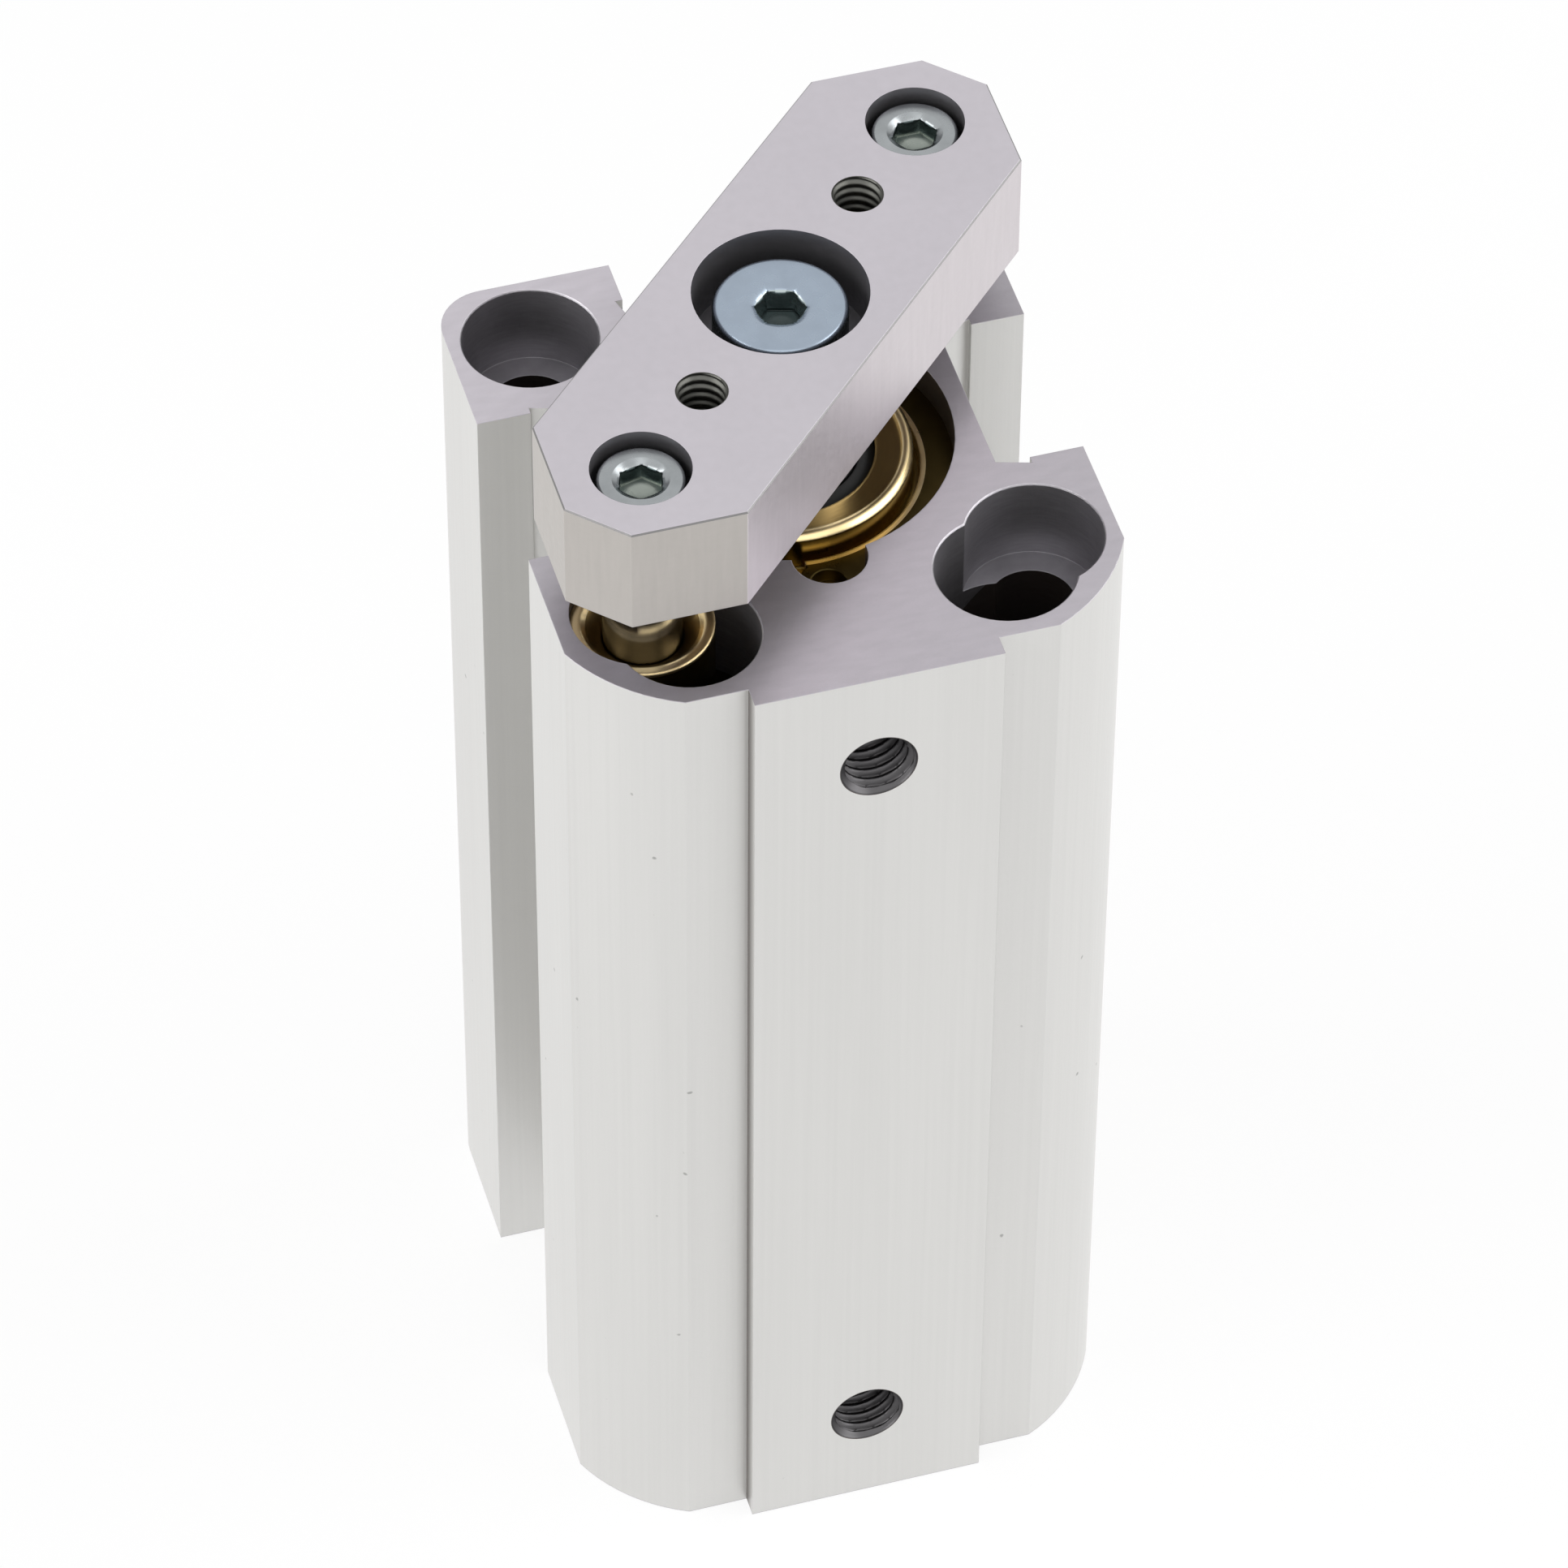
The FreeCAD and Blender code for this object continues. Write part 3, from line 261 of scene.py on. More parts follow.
# Material tools.
class Finish:
    """One material: its nodes are added from the coordinates towards the shader."""

    def __init__(self, name):
        self.material = bpy.data.materials.new(name)
        self.material.use_nodes = True
        self.tree = self.material.node_tree
        self.shader = self.tree.nodes["Principled BSDF"]
        place = self.node("ShaderNodeTexCoord").outputs["Object"]
        self.place = self.vector("SCALE", place, scale=1 / MM)
        parts = self.node("ShaderNodeSeparateXYZ")
        self.put(parts.inputs[0], self.place)
        self.x, self.y, self.z = parts.outputs

    def node(self, kind, **settings):
        node = self.tree.nodes.new(kind)
        for key, value in settings.items():
            setattr(node, key, value)
        return node

    def put(self, socket, value):
        """Link an output to the socket, or write a plain value on it."""
        if isinstance(value, bpy.types.NodeSocket):
            self.tree.links.new(value, socket)
        else:
            socket.default_value = value

    def math(self, operation, *values):
        node = self.node("ShaderNodeMath", operation=operation)
        for socket, value in zip(node.inputs, values):
            self.put(socket, value)
        return node.outputs[0]

    def vector(self, operation, a, b=None, scale=None):
        node = self.node("ShaderNodeVectorMath", operation=operation)
        self.put(node.inputs[0], a)
        if b is not None:
            self.put(node.inputs[1], b)
        if scale is not None:
            self.put(node.inputs["Scale"], scale)
        return node.outputs["Value" if operation == "DISTANCE" else "Vector"]

    def step(self, value, start, end):
        """0 before start, 1 after end, and a ramp between."""
        node = self.node("ShaderNodeMapRange", clamp=True)
        for socket, number in zip(node.inputs, (value, start, end, 0.0, 1.0)):
            self.put(socket, number)
        return node.outputs[0]

    def noise(self, stretch=(1.0, 1.0, 1.0), scale=1.0, detail=2.0):
        """Noise in cycles per millimetre, stretched along the axes with small factors."""
        node = self.node("ShaderNodeTexNoise")
        self.put(node.inputs["Vector"], self.vector("MULTIPLY", self.place, stretch))
        self.put(node.inputs["Scale"], scale)
        self.put(node.inputs["Detail"], detail)
        return node.outputs[0]

    def blend(self, amount, a, b):
        """Colour a where amount is 0 and colour b where it is 1."""
        node = self.node("ShaderNodeMix", data_type="RGBA")
        self.put(node.inputs[0], amount)
        for socket, value in zip(node.inputs[6:8], (a, b)):
            self.put(socket, value if isinstance(value, bpy.types.NodeSocket) else (*value, 1.0))
        return node.outputs[2]

    def shade(self, tone, factor):
        """Colour times a number."""
        return self.vector("SCALE", tone, scale=factor)

    def vary(self, middle, noise, spread):
        """A number about middle, from noise about 0.5."""
        return self.math("MULTIPLY_ADD", noise, 2 * spread, middle - spread)

    def away(self, centre, axis="Z"):
        """Distance from a line through centre, in millimetres, that runs along an axis."""
        mask = {"Y": (1, 0, 1), "Z": (1, 1, 0)}[axis]
        flat = self.vector("MULTIPLY", self.place, mask)
        return self.vector("DISTANCE", flat, tuple(c * m for c, m in zip(centre, mask)))

    def inside(self, holes, axis="Z", rim=0.06):
        """1 within any of the circles (x, y, z, radius) about an axis, else 0."""
        found = 0.0
        for *centre, radius in holes:
            near = self.math("LESS_THAN", self.away(centre, axis), radius + rim)
            found = self.math("MAXIMUM", found, near)
        return found

    def bump(self, height, distance, strength, edge):
        """Put relief on the surface: height times distance, over edges rounded by edge, in millimetres."""
        node = self.node("ShaderNodeBump")
        self.put(node.inputs["Strength"], strength)
        self.put(node.inputs["Distance"], distance * MM)
        self.put(node.inputs["Height"], height)
        rounded = self.node("ShaderNodeBevel", samples=6)
        self.put(rounded.inputs["Radius"], edge * MM)
        self.put(node.inputs["Normal"], rounded.outputs[0])
        self.put(self.shader.inputs["Normal"], node.outputs[0])

    def surface(self, base, roughness, metallic=1.0):
        plain = not isinstance(base, bpy.types.NodeSocket)
        self.put(self.shader.inputs["Base Color"], (*base, 1.0) if plain else base)
        self.put(self.shader.inputs["Roughness"], roughness)
        self.put(self.shader.inputs["Metallic"], metallic)
        return self.material


def to_mm(vector):
    return tuple(component / MM for component in vector)


# Finishes.
def barrel_finish(looks):
    """Anodised extrusion: fine die lines along Z, milled ends, a few pits, and painted shade and light in
    the holes, on the ends and down the port pad.
    """
    finish = Finish("barrel_anodised")
    top, base = BARREL_HIGH.z / MM, BARREL_LOW.z / MM
    front, rear = to_mm(GUIDE_FRONT), to_mm(GUIDE_REAR)
    bolt = MOUNTS["base_bolts"]["dims"]["pcd_mm"] / 2 / math.sqrt(2)
    width = finish.math("ABSOLUTE", finish.x)
    die_lines = finish.noise((1.0, 1.0, 0.012), scale=2.6, detail=3.0)
    broad = finish.noise((1.0, 1.0, 0.15), scale=0.12, detail=1.0)
    grain = finish.noise(scale=9.0, detail=1.0)

    # Extruded sides, with painted shade down the port pad's corners.
    sides = finish.shade(looks.extruded, finish.vary(1.0, die_lines, 0.035))
    sides = finish.shade(sides, finish.vary(1.0, broad, 0.03))
    pits = finish.step(finish.noise(scale=1.1, detail=0.0), 0.86, 0.89)
    sides = finish.blend(finish.math("MULTIPLY", pits, 0.55), sides, looks.pits)
    pad_side = finish.math("COMPARE", width, PAD_SIDE_X, 0.02)
    pad_corner_shade = finish.math("MULTIPLY", pad_side, finish.step(finish.y, PAD_CORNER_START, PAD_CORNER_END))
    sides = finish.blend(finish.math("MULTIPLY", pad_corner_shade, 0.85), sides, looks.bore_shade)

    # Milled ends: painted light on the left corner and painted shade on the rear right corner.
    milling = finish.noise((0.35, 1.0, 1.0), scale=1.6, detail=4.0)
    ends = finish.shade(looks.milled, finish.vary(1.0, milling, 0.09))
    open_corner_light = finish.step(finish.math("SUBTRACT", finish.y, finish.x), 15.0, 24.0)
    plate_corner_shade = finish.step(finish.math("ADD", finish.x, finish.y), 17.0, 24.0)
    ends = finish.shade(ends, finish.math("MULTIPLY_ADD", open_corner_light, 0.20, 1.0))
    ends = finish.shade(ends, finish.math("MULTIPLY_ADD", plate_corner_shade, -0.14, 1.0))
    at_end = finish.math("MAXIMUM",
                         finish.math("GREATER_THAN", finish.z, top - 0.03),
                         finish.math("LESS_THAN", finish.z, base + 0.03))

    # Drilled pockets, which lie in shade below a line that dips towards the relief pockets.
    pockets = [(bolt, -bolt, 0, RECESS_R), (-bolt, bolt, 0, RECESS_R), *RELIEF_POCKETS]
    dip = finish.step(width, 10.4, 8.9)
    shade_line = finish.math("MULTIPLY_ADD", dip, -1.55, top - RECESS_DEPTH - 0.05)
    drilled = finish.blend(finish.math("LESS_THAN", finish.z, shade_line), looks.drilled, looks.bore_shade)

    # Bored and tapped holes, painted near black as shade.
    bores = [RING_GROOVE, EAR_NOTCH, (*front, BUSH_SEAT_R), (*rear, BUSH_SEAT_R)]
    ports = [(*to_mm(mount["pos_m"]), mount["dims"]["r_mm"])
             for mount in (MOUNTS["rod_port"], MOUNTS["head_port"])]
    before_bore = finish.math("LESS_THAN", finish.y, 0.0)
    in_port = finish.math("MULTIPLY", finish.inside(ports, "Y", 0.02), before_bore)
    bore_shade = finish.math("MAXIMUM", finish.inside(bores), in_port)
    turned = finish.noise((0.4, 0.4, 3.0), scale=2.0, detail=3.0)
    tool_marks = finish.vary(1.0, turned, 0.18)

    base_colour = finish.blend(finish.inside(pockets), sides, finish.shade(drilled, tool_marks))
    base_colour = finish.blend(bore_shade, base_colour, finish.shade(looks.bore_shade, tool_marks))
    base_colour = finish.blend(at_end, base_colour, ends)
    relief = finish.math("ADD", die_lines, finish.math("MULTIPLY", grain, 0.35))
    finish.bump(relief, 0.012, 0.6, edge=0.08)
    rough = finish.vary(looks.satin, grain, 0.08)
    return finish.surface(base_colour, rough, 0.85)


def plate_finish(looks):
    """Anodised plate: milled faces with faint cutter lines, sawn ends, painted light and shade on the sides
    and edges, and hole walls painted dark as shade.
    """
    finish = Finish("plate_anodised")
    front, rear = to_mm(GUIDE_FRONT), to_mm(GUIDE_REAR)
    step = MOUNTS["tool_threads"]["dims"]["pcd_mm"] / 2 / math.sqrt(2)
    tool_r = MOUNTS["tool_threads"]["dims"]["hole_r_mm"]
    middle = (PLATE_HIGH.z + PLATE_LOW.z) / 2 / MM
    reach = (PLATE_HIGH.z - PLATE_LOW.z) / 2 / MM
    from_middle = finish.math("ABSOLUTE", finish.math("SUBTRACT", finish.z, middle))

    fine = finish.noise((0.5, 0.5, 1.0), scale=3.0, detail=4.0)
    cloud = finish.noise(scale=0.12, detail=2.0)
    faces = finish.shade(looks.plate_top, finish.vary(1.0, fine, 0.05))
    faces = finish.shade(faces, finish.vary(1.0, cloud, 0.04))

    sawn = finish.noise((1.0, 1.0, 0.1), scale=2.5, detail=3.0)
    # The long sides take painted light, the ends painted shade and the broken edges a dark painted shade,
    # over the sawn grain.
    across = finish.math("ABSOLUTE", finish.math("SUBTRACT", finish.x, finish.y))
    long_side = finish.math("GREATER_THAN", across, PLATE_BAND / math.sqrt(2) - 0.05)
    sides = finish.blend(long_side, looks.shaded_plate_tip, looks.lit_plate_side)
    sides = finish.shade(sides, finish.vary(1.0, sawn, 0.06))
    sides = finish.blend(finish.math("GREATER_THAN", from_middle, reach - 0.11), sides, looks.plate_edge_shade)

    # The hole walls take the drilled colour darkened to 0.6 as painted shade.
    holes = [CENTRE_POCKET, (*front, GUIDE_POCKET_R), (*rear, GUIDE_POCKET_R),
             (step, step, 0, tool_r), (-step, -step, 0, tool_r)]
    walls = finish.blend(finish.inside(holes), sides, finish.shade(looks.drilled, 0.6))
    base_colour = finish.blend(finish.math("GREATER_THAN", from_middle, reach - 0.01), walls, faces)
    finish.bump(fine, 0.010, 0.6, edge=0.04)
    rough = finish.vary(looks.satin, fine, 0.08)
    return finish.surface(base_colour, rough, 0.85)


def turned_finish(name, base, roughness, line_depth=0.006, stain=0.06, edge=0.08, centre=(0.0, 0.0, 0.0),
                  rim=None, bore=None):
    """Turned metal: rings about the axis through centre and faint stains.

    A rim is the height and the colour of a faced end, which paints a highlight on it, and a bore the radius
    and the colour inside it.
    """
    finish = Finish(name)
    radius = finish.away(centre)
    spun = finish.node("ShaderNodeCombineXYZ")
    finish.put(spun.inputs[0], radius)
    finish.put(spun.inputs[1], finish.z)
    rings = finish.node("ShaderNodeTexNoise")
    finish.put(rings.inputs["Vector"], spun.outputs[0])
    finish.put(rings.inputs["Scale"], 9.0)
    finish.put(rings.inputs["Detail"], 2.0)
    stains = finish.noise(scale=0.5, detail=3.0)
    if bore:
        base = finish.blend(finish.math("LESS_THAN", radius, bore[0]), base, bore[1])
    if rim:
        base = finish.blend(finish.math("GREATER_THAN", finish.z, rim[0] / MM - RIM_DEPTH), base, rim[1])
    tone = finish.shade(base, finish.vary(1.0, rings.outputs[0], 0.07))
    tone = finish.shade(tone, finish.vary(1.0, stains, stain))
    finish.bump(rings.outputs[0], line_depth, 0.5, edge=edge)
    rough = finish.vary(roughness, stains, 0.05)
    return finish.surface(tone, rough)


def plated_finish(name, base, roughness, painted_glint_r=None, painted_glint=None, sunk=(), cloudy=0.10, edge=0.05):
    """Plated steel: a fine even grain and a cloudy plating.

    The plating may take a painted highlight colour within a radius of the bore axis, or take the
    colours of sunk, a list of heights and colours from the top down, below those heights, which
    paint shade and dark residue in a screw socket.
    """
    finish = Finish(name)
    cloud = finish.noise(scale=0.7, detail=3.0)
    grain = finish.noise(scale=12.0, detail=2.0)
    if painted_glint is not None:
        base = finish.blend(finish.math("LESS_THAN", finish.away((0.0, 0.0, 0.0)), painted_glint_r), base, painted_glint)
    for height, sunk_colour in sunk:
        base = finish.blend(finish.math("LESS_THAN", finish.z, height / MM), base, sunk_colour)
    tone = finish.shade(base, finish.vary(1.0, cloud, cloudy))
    finish.bump(grain, 0.006, 0.4, edge=edge)
    rough = finish.vary(roughness, cloud, 0.08)
    return finish.surface(tone, rough)


def moulded_finish(name, base, roughness, gloss=0.5):
    """Moulded rubber or plastic: matt, with a fine grain and dusty patches."""
    finish = Finish(name)
    grain = finish.noise(scale=6.0, detail=3.0)
    dust = finish.noise(scale=0.4, detail=3.0)
    tone = finish.shade(base, finish.vary(1.05, dust, 0.2))
    finish.bump(grain, 0.010, 0.4, edge=0.05)
    finish.put(finish.shader.inputs["Specular IOR Level"], gloss)
    rough = finish.vary(roughness, grain, 0.1)
    return finish.surface(tone, rough, 0.0)


def put_finish(material, *items):
    for item in items:
        item.data.materials.clear()
        item.data.materials.append(material)


# Socket screws.
def screw_rows(head_r, head, shank_r, length_under, socket, sink):
    """Profile of a socket screw as rows (round radius, height, share of hexagon, share of knurl).

    The profile runs from the tip of the shank up the outside, over the head's rounded edge, across
    its face and down the socket to the drill point, whose height is returned too. Height 0 is the
    top of the head.
    """
    foot = -head - length_under
    edge = 0.10 * head_r
    mouth = socket / math.sqrt(3) + 0.02 * socket
    rows = [
        (0.75 * shank_r, foot, 0, 0),
        (shank_r, foot + 0.3 * shank_r, 0, 0),
        (shank_r, -head, 0, 0),
        (head_r - 0.4 * edge, -head, 0, 0),
        (head_r, -head + 0.4 * edge, 0, 0),
        (head_r, -head + 0.8 * edge, 0, 1),
        (head_r, -1.5 * edge, 0, 1),
        (head_r, -1.1 * edge, 0, 0),
    ]
    for bend in np.linspace(0.0, math.pi / 2, 7):
        rows.append((head_r - edge * (1 - math.cos(bend)), -edge * (1 - math.sin(bend)), 0, 0))
    rows += [
        (mouth + 0.11 * head_r, 0.0, 0, 0),
        (mouth, -0.08 * socket, 0, 0),
        (mouth * 0.97, -0.12 * socket, 0.6, 0),
        (mouth, -0.18 * socket, 1, 0),
        (mouth, -sink, 1, 0),
        (0.30 * socket, -sink - 0.02 * socket, 0, 0),
    ]
    return np.array(rows), -sink - 0.18 * socket


def make_screw(name, place, head_r, head, shank_r, length_under, socket, turn, knurl_depth, grooves):
    """A socket screw about a vertical axis, with the top of its head at place.

    The radius at angle t is the profile's round radius, or for the socket the distance to a
    hexagon's side: half the width over flats divided by cos(t'), with t' = t within 30 degrees of
    the middle of a side. Knurling takes a triangle wave of the angle off the head's side.
    """
    rows, drill_point = screw_rows(head_r, head, shank_r, length_under, socket, 0.55 * head)
    t = np.linspace(0.0, 2 * math.pi, 4 * grooves, endpoint=False)
    sector = math.radians(60)
    from_side = np.mod(t - turn, sector) - sector / 2
    hexagon = (socket / 2) / np.cos(from_side)
    wave = np.abs(2 * np.mod(t * grooves / (2 * math.pi), 1.0) - 1)
    round_r, height, hex_share, knurl_share = (column[:, None] for column in rows.T)
    radius = round_r * (1 - hex_share) + hexagon[None, :] * hex_share
    radius = radius - knurl_share * knurl_depth * wave[None, :]
    points = np.stack([place.x + radius * np.cos(t), place.y + radius * np.sin(t),
                       np.broadcast_to(place.z + height, radius.shape)], -1)
    foot = (place.x, place.y, place.z + rows[0, 1])
    screw = turned_object(name, points, foot, (place.x, place.y, place.z + drill_point))
    smooth_by_angle(screw)
    return screw


# Threads.
def make_thread(name, mouth, axis, wall_r, crest_r, depth, pitch, columns=96, rows_per_pitch=12):
    """A threaded sleeve inside a plain hole whose mouth is at a point, with axis pointing out of it.

    At angle t and height s along the axis the inner radius is the root radius minus the depth of
    thread times w, where w is a clipped triangle wave of s / pitch - t / 360 degrees. Near the mouth
    the radius opens as a 45 degree countersink. The sleeve's outside is a plain cylinder just inside
    the hole.
    """
    clearance, thinnest, countersink = 0.004 * MM, 0.03 * MM, 0.06 * MM
    root_flat, flank = 0.12, 0.66
    outer_r = wall_r - clearance
    root_r = outer_r - thinnest
    rows = int(round(depth / pitch * rows_per_pitch))
    s = np.linspace(-0.01 * MM, -depth, rows)[:, None]
    t = np.linspace(0.0, 2 * math.pi, columns, endpoint=False)[None, :]
    triangle = np.abs(2 * np.mod(s / pitch - t / (2 * math.pi), 1.0) - 1)
    wave = np.clip((triangle - root_flat) / flank, 0.0, 1.0)
    inner = root_r - (root_r - crest_r) * wave
    inner = np.maximum(inner, root_r + s + countersink)
    inner = np.minimum(inner, root_r)
    outer = np.full((2, columns), outer_r)
    radius = np.concatenate([outer, inner])
    height = np.concatenate([[[-depth], [s[0, 0]]], s])
    local = np.stack([radius * np.cos(t), radius * np.sin(t), np.broadcast_to(height, radius.shape)], -1)
    side = Vector((1.0, 0.0, 0.0))
    turn = np.array([side, Vector(axis).cross(side), axis], float)
    points = local @ turn + np.array(mouth)
    sleeve = ring_object(name, points)
    smooth_by_angle(sleeve, 50)
    return sleeve


# Operators.
class CYLINDER_OT_finish_parts(bpy.types.Operator):
    """Give every machined and moulded part its finish"""

    bl_idname = "cylinder.finish_parts"
    bl_label = "Finish the parts"

    def execute(self, context):
        looks = context.scene.cylinder_finishes
        nodes = frame["nodes"]
        put_finish(barrel_finish(looks), nodes["barrel"])
        put_finish(plate_finish(looks), nodes["tool_plate"])
        cover_brass = turned_finish("cover_brass", looks.brass, 0.24, edge=0.3,
                                    bore=(COVER_BORE_R, looks.bored_brass),
                                    rim=(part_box("rod_cover")[1].z, looks.rim_highlight_brass))
        put_finish(cover_brass, nodes["rod_cover"])
        put_finish(turned_finish("cover_aluminium", looks.plate_top, 0.36),
                   nodes["head_cover"], nodes["piston_head_half"], nodes["piston_rod_half"])
        for end, middle in (("front", GUIDE_FRONT), ("rear", GUIDE_REAR)):
            self.finish_guide(looks, end, to_mm(middle))
        rod_chrome = turned_finish("rod_chrome", looks.chrome, looks.polish, line_depth=0.002, stain=0.03)
        put_finish(rod_chrome, nodes["piston_rod"])
        # The rings take a painted highlight on their inner edge.
        passivated = plated_finish("ring_passivated", looks.ring, 0.30,
                                   painted_glint_r=RING_GLINT_R, painted_glint=looks.ring_glint, edge=0.2)
        put_finish(passivated, nodes["rod_cover_retaining_ring"], nodes["head_cover_retaining_ring"])
        rubber = moulded_finish("nitrile_rubber", looks.rubber, 0.6, gloss=0.12)
        for name in ("rod_cover_o_ring", "rod_wiper", "rod_seal", "head_cover_o_ring", "piston_seal",
                     "rod_bumper", "head_bumper"):
            put_finish(rubber, nodes[name])
        put_finish(moulded_finish("wear_plastic", looks.plastic, 0.5), nodes["wear_ring"])
        put_finish(moulded_finish("bonded_magnet", looks.magnet, 0.45), nodes["piston_magnet"])
        return {"FINISHED"}

    def finish_guide(self, looks, end, centre):
        """Brass for a guide bush, with a painted highlight on its rim, and chrome painted darker as shade
        for its rod, turned about the guide's own axis.
        """
        bush, rod = frame["nodes"]["guide_bush_" + end], frame["nodes"]["guide_rod_" + end]
        rim_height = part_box("guide_bush_" + end)[1].z
        brass = turned_finish("bush_brass_" + end, looks.brass, 0.22, edge=0.3, centre=centre,
                              bore=(BUSH_BORE_R, looks.bored_brass), rim=(rim_height, looks.rim_highlight_brass))
        put_finish(brass, bush)
        # The guide rod's chrome is painted dark as shade.
        chrome = turned_finish("guide_chrome_" + end, looks.shaded_guide_chrome, looks.polish,
                               line_depth=0.002, stain=0.03, centre=centre)
        put_finish(chrome, rod)


class CYLINDER_OT_socket_screws(bpy.types.Operator):
    """Make the three socket screws of the tool plate"""

    bl_idname = "cylinder.socket_screws"
    bl_label = "Make the socket screws"

    def execute(self, context):
        sizes, looks = context.scene.cylinder_screws, context.scene.cylinder_finishes
        top = Vector((0.0, 0.0, ROD_SCREW_HIGH.z))
        reach = ROD_SCREW_HIGH.z - ROD_SCREW_LOW.z
        screw = make_screw("centre_screw", top, ROD_SCREW_HIGH.x, sizes.centre_head,
                           sizes.centre_shank / 2, reach - sizes.centre_head, sizes.centre_socket,
                           sizes.centre_turn, sizes.knurl_depth, 60)
        self.plate_screw(screw, top.z, sizes.centre_head, 0.10,
                         looks.zinc, looks.centre_wall, looks.centre_floor)
        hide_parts("rod_screw")

        head_r = GUIDE_SCREWS_HIGH.x - GUIDE_REAR.x
        reach = GUIDE_SCREWS_HIGH.z - GUIDE_SCREWS_LOW.z
        head = sizes.guide_head - sizes.guide_face
        for name, middle, turn in (("guide_screw_front", GUIDE_FRONT, sizes.front_turn),
                                   ("guide_screw_rear", GUIDE_REAR, sizes.rear_turn)):
            top = Vector((middle.x, middle.y, GUIDE_SCREWS_HIGH.z - sizes.guide_face))
            screw = make_screw(name, top, head_r, head, sizes.guide_shank / 2,
                               reach - sizes.guide_head, sizes.guide_socket, turn, sizes.knurl_depth, 48)
            self.plate_screw(screw, top.z, head, 0.22, looks.dull_zinc, looks.guide_wall, looks.guide_floor)
            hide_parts("guide_screws")
        return {"FINISHED"}

    def plate_screw(self, screw, top_z, head, cloudy, zinc, wall, floor):
        """Zinc for a screw of the slide, with colours of painted shade and dark residue on the wall and the
        floor of its socket.
        """
        sunk = ((top_z - SOCKET_EDGE * MM, wall), (top_z - 0.5 * head, floor))
        put_finish(plated_finish(screw.name + "_zinc", zinc, 0.26, sunk=sunk, cloudy=cloudy), screw)
        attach(screw, "slide")


class CYLINDER_OT_port_threads(bpy.types.Operator):
    """Cut the threads of the two air ports"""

    bl_idname = "cylinder.port_threads"
    bl_label = "Thread the ports"

    def execute(self, context):
        sizes, looks = context.scene.cylinder_threads, context.scene.cylinder_finishes
        # The port threads are painted near black as shade in the holes.
        tapped = plated_finish("port_thread", looks.port_thread, 0.40)
        for name in ("rod_port", "head_port"):
            mount = MOUNTS[name]
            mouth = Vector((mount["pos_m"][0], BARREL_LOW.y, mount["pos_m"][2]))
            depth = 0.95 * mount["dims"]["length_mm"] * MM
            thread = make_thread(name + "_thread", mouth, Vector(mount["axis"]),
                                 mount["dims"]["r_mm"] * MM, sizes.port_crest, depth, sizes.port_pitch)
            put_finish(tapped, thread)
            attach(thread, "cylinder")
        return {"FINISHED"}


class CYLINDER_OT_plate_threads(bpy.types.Operator):
    """Cut the threads of the two tool holes in the plate"""

    bl_idname = "cylinder.plate_threads"
    bl_label = "Thread the tool plate"

    def execute(self, context):
        sizes, looks = context.scene.cylinder_threads, context.scene.cylinder_finishes
        mount = MOUNTS["tool_threads"]
        # The plate threads are painted near black as shade in the holes.
        tapped = plated_finish("plate_thread", looks.plate_thread, 0.42)
        step = mount["dims"]["pcd_mm"] / 2 / math.sqrt(2) * MM
        sign = 1 if GUIDE_FRONT.x * GUIDE_FRONT.y > 0 else -1
        for name, x in (("plate_thread_front", -step), ("plate_thread_rear", step)):
            mouth = Vector((x, sign * x, PLATE_HIGH.z))
            depth = PLATE_HIGH.z - PLATE_LOW.z - 0.02 * MM
            thread = make_thread(name, mouth, Vector((0, 0, 1)), mount["dims"]["hole_r_mm"] * MM,
                                 sizes.plate_crest, depth, sizes.plate_pitch, 72)
            put_finish(tapped, thread)
            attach(thread, "slide")
        return {"FINISHED"}


def add_lamp(name, place, watts, size):
    """A round soft lamp that faces the part."""
    lamp = bpy.data.lights.new(name, "AREA")
    lamp.shape = "DISK"
    lamp.size = size
    lamp.energy = watts
    item = bpy.data.objects.new(name, lamp)
    item.location = place
    item.rotation_euler = (Vector(LAMP_TARGET) - Vector(place)).to_track_quat("-Z", "Y").to_euler()
    bpy.context.scene.collection.objects.link(item)


def seen_directly(tree):
    """1 for rays from the camera, off a gloss or through glass, and 0 for the rest."""
    paths = tree.nodes.new("ShaderNodeLightPath")
    total = None
    for ray in ("Is Camera Ray", "Is Glossy Ray", "Is Transmission Ray"):
        if total is None:
            total = paths.outputs[ray]
            continue
        either = tree.nodes.new("ShaderNodeMath")
        either.operation = "MAXIMUM"
        tree.links.new(total, either.inputs[0])
        tree.links.new(paths.outputs[ray], either.inputs[1])
        total = either.outputs[0]
    return total


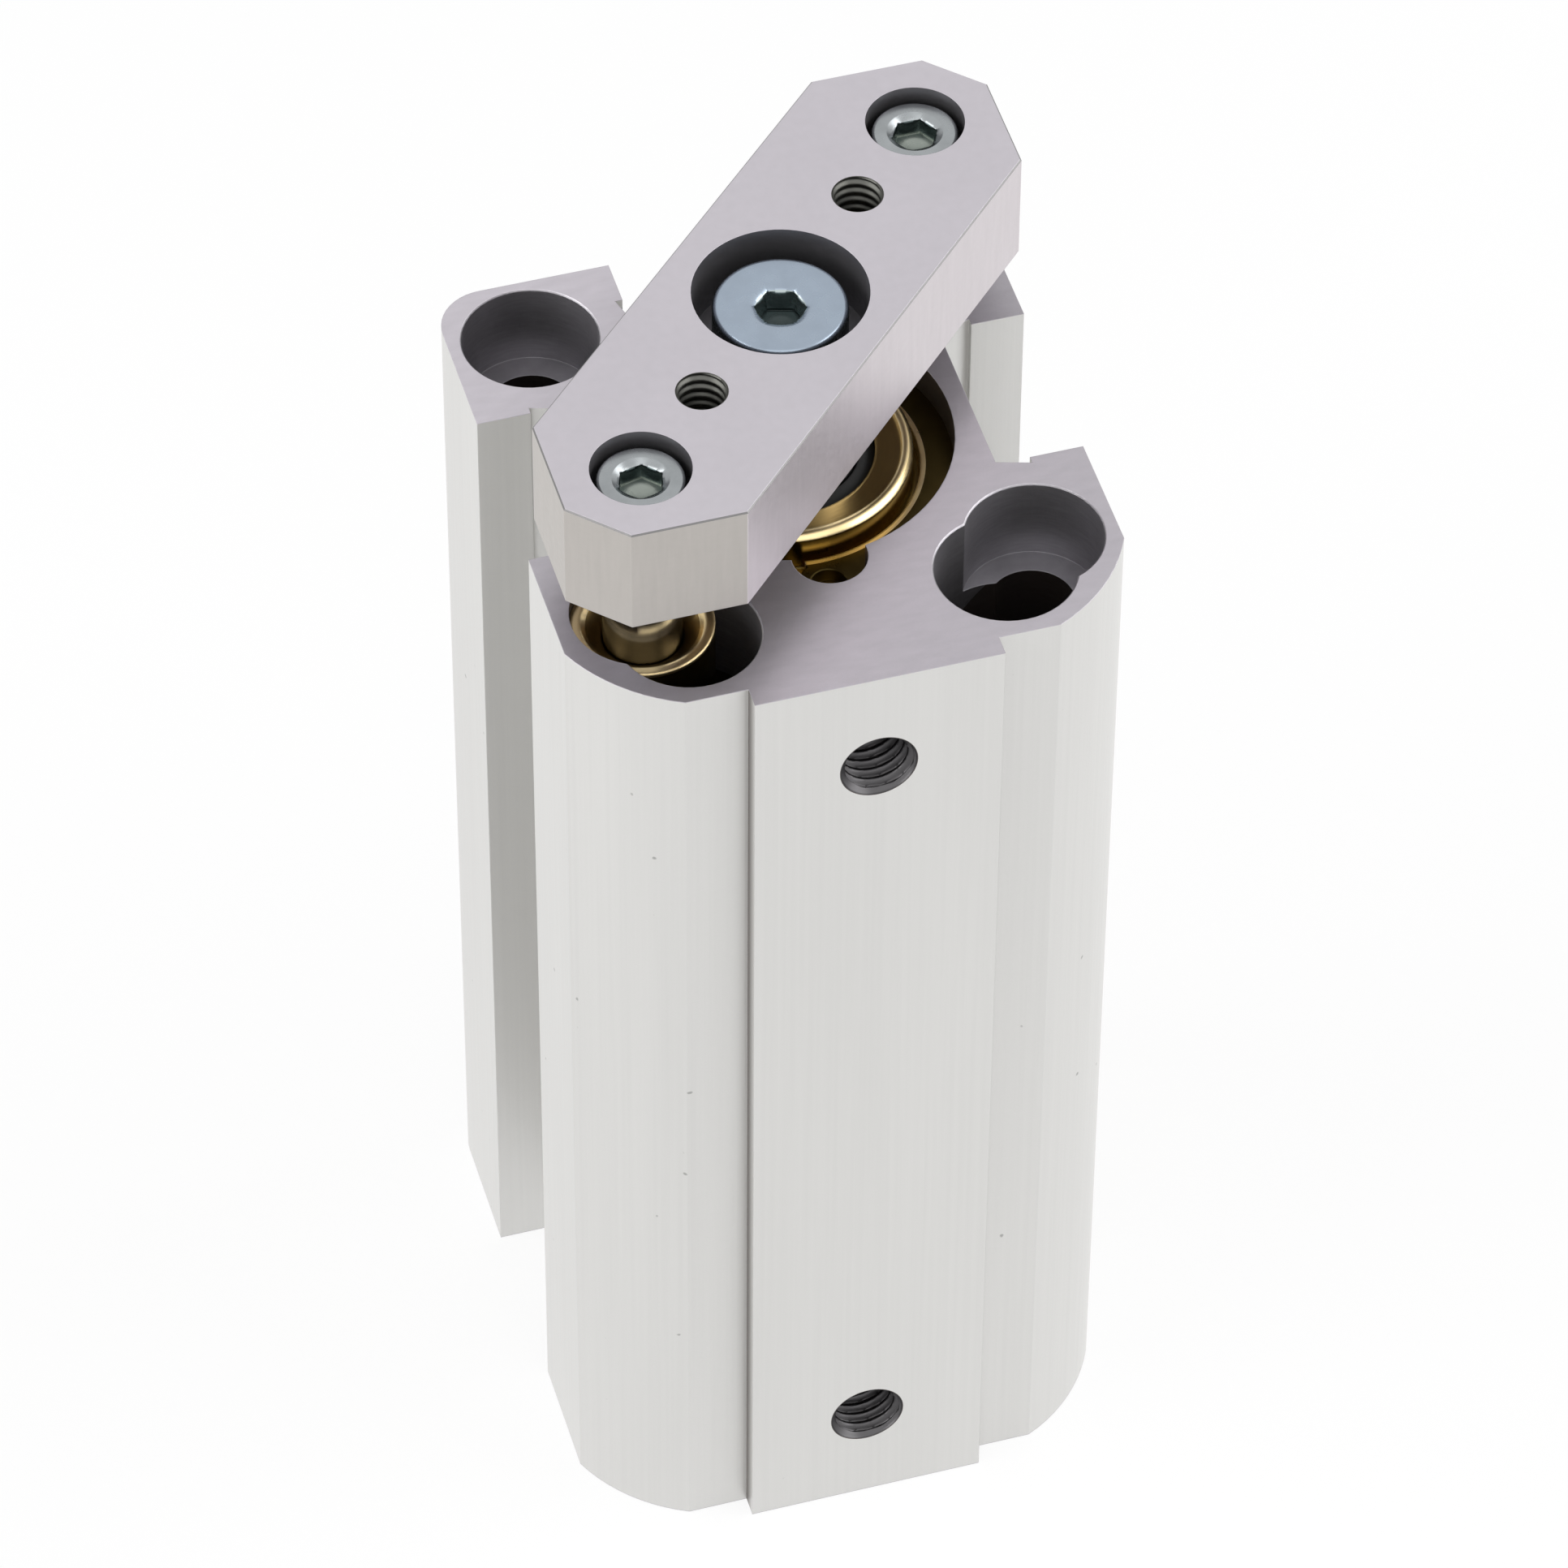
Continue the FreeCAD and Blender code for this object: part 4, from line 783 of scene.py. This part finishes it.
class CYLINDER_OT_studio(bpy.types.Operator):
    """Set the floor, the soft lamps, the white room and the camera"""

    bl_idname = "cylinder.studio"
    bl_label = "Set the studio"

    def execute(self, context):
        sizes = context.scene.cylinder_studio
        scene = context.scene
        scene.view_settings.view_transform = "Standard"
        self.make_floor(sizes)
        self.make_room(scene, sizes)
        for name, (place, watts) in LAMPS.items():
            add_lamp(name, place, watts, sizes.lamp_size)
        self.make_camera(scene, sizes)
        return {"FINISHED"}

    def make_floor(self, sizes):
        """A wide sheet at the base face that is almost white to the eye and keeps a soft shadow."""
        reach, low = sizes.floor_reach, -0.05 * MM
        corners = [(-reach, -reach, low), (reach, -reach, low), (reach, reach, low), (-reach, reach, low)]
        floor = mesh_object("floor", corners, [(0, 1, 2, 3)])
        finish = Finish("floor_sheet")
        paper = finish.noise(scale=0.02, detail=1.0)
        tone = finish.shade(sizes.floor_colour, finish.vary(1.0, paper, 0.01))
        finish.surface(tone, 0.9, 0.0)
        finish.shader.inputs["Specular IOR Level"].default_value = 0.0
        tree = finish.tree
        glow = tree.nodes.new("ShaderNodeEmission")
        mix = tree.nodes.new("ShaderNodeMixShader")
        seen = finish.math("MULTIPLY", seen_directly(tree), sizes.floor_glow)
        tree.links.new(seen, mix.inputs[0])
        tree.links.new(finish.shader.outputs[0], mix.inputs[1])
        tree.links.new(glow.outputs[0], mix.inputs[2])
        tree.links.new(mix.outputs[0], tree.nodes["Material Output"].inputs["Surface"])
        put_finish(finish.material, floor)

    def make_room(self, scene, sizes):
        """White where it is seen, and a plain grey light from all sides elsewhere."""
        world = bpy.data.worlds.new("white_room")
        world.use_nodes = True
        tree = world.node_tree
        backdrop = tree.nodes["Background"]
        strength = tree.nodes.new("ShaderNodeMapRange")
        strength.inputs["To Min"].default_value = sizes.sky
        strength.inputs["To Max"].default_value = 1.0
        tree.links.new(seen_directly(tree), strength.inputs["Value"])
        tree.links.new(strength.outputs[0], backdrop.inputs["Strength"])
        backdrop.inputs["Color"].default_value = (1.0, 1.0, 1.0, 1.0)
        scene.world = world

    def make_camera(self, scene, sizes):
        """Camera on a sphere round the part: back points from the target to the camera."""
        target = Vector((0.0, 0.0, sizes.look_height))
        back = Vector((math.sin(sizes.azimuth) * math.cos(sizes.elevation),
                       -math.cos(sizes.azimuth) * math.cos(sizes.elevation), math.sin(sizes.elevation)))
        right = Vector((0.0, 0.0, 1.0)).cross(back).normalized()
        up = back.cross(right)
        level = math.cos(sizes.roll) * right + math.sin(sizes.roll) * up
        upright = math.cos(sizes.roll) * up - math.sin(sizes.roll) * right
        camera_data = bpy.data.cameras.new("camera")
        camera_data.lens = sizes.lens
        camera_data.sensor_width = 36.0
        camera_data.shift_x = sizes.shift_x
        camera_data.shift_y = sizes.shift_y
        camera = bpy.data.objects.new("camera", camera_data)
        turn = Matrix((level, upright, back)).transposed().to_4x4()
        camera.matrix_world = Matrix.Translation(target + sizes.distance * back) @ turn
        scene.collection.objects.link(camera)
        scene.camera = camera


class CYLINDER_PT_panel(bpy.types.Panel):
    """Steps that dress the cylinder"""

    bl_label = "Guided cylinder"
    bl_idname = "CYLINDER_PT_panel"
    bl_space_type = "VIEW_3D"
    bl_region_type = "UI"
    bl_category = "Cylinder"

    def draw(self, context):
        for name in GROUPS:
            group = getattr(context.scene, name)
            box = self.layout.box()
            for key in group.bl_rna.properties.keys():
                if key not in ("rna_type", "name"):
                    box.prop(group, key)
        for operator in OPERATORS:
            self.layout.operator(operator.bl_idname)


GROUPS = {
    "cylinder_finishes": CylinderFinishes,
    "cylinder_screws": CylinderScrews,
    "cylinder_threads": CylinderThreads,
    "cylinder_studio": CylinderStudio,
}
OPERATORS = (
    CYLINDER_OT_studio,
    CYLINDER_OT_finish_parts,
    CYLINDER_OT_socket_screws,
    CYLINDER_OT_port_threads,
    CYLINDER_OT_plate_threads,
)


def register():
    for item in (*GROUPS.values(), *OPERATORS, CYLINDER_PT_panel):
        bpy.utils.register_class(item)
    for name, group in GROUPS.items():
        setattr(bpy.types.Scene, name, bpy.props.PointerProperty(type=group))


def unregister():
    for name in GROUPS:
        delattr(bpy.types.Scene, name)
    for item in (CYLINDER_PT_panel, *OPERATORS, *GROUPS.values()):
        bpy.utils.unregister_class(item)


def main():
    register()
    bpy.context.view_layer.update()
    bpy.ops.cylinder.studio()
    bpy.ops.cylinder.finish_parts()
    bpy.ops.cylinder.socket_screws()
    bpy.ops.cylinder.port_threads()
    bpy.ops.cylinder.plate_threads()


if __name__ == "__main__":
    main()
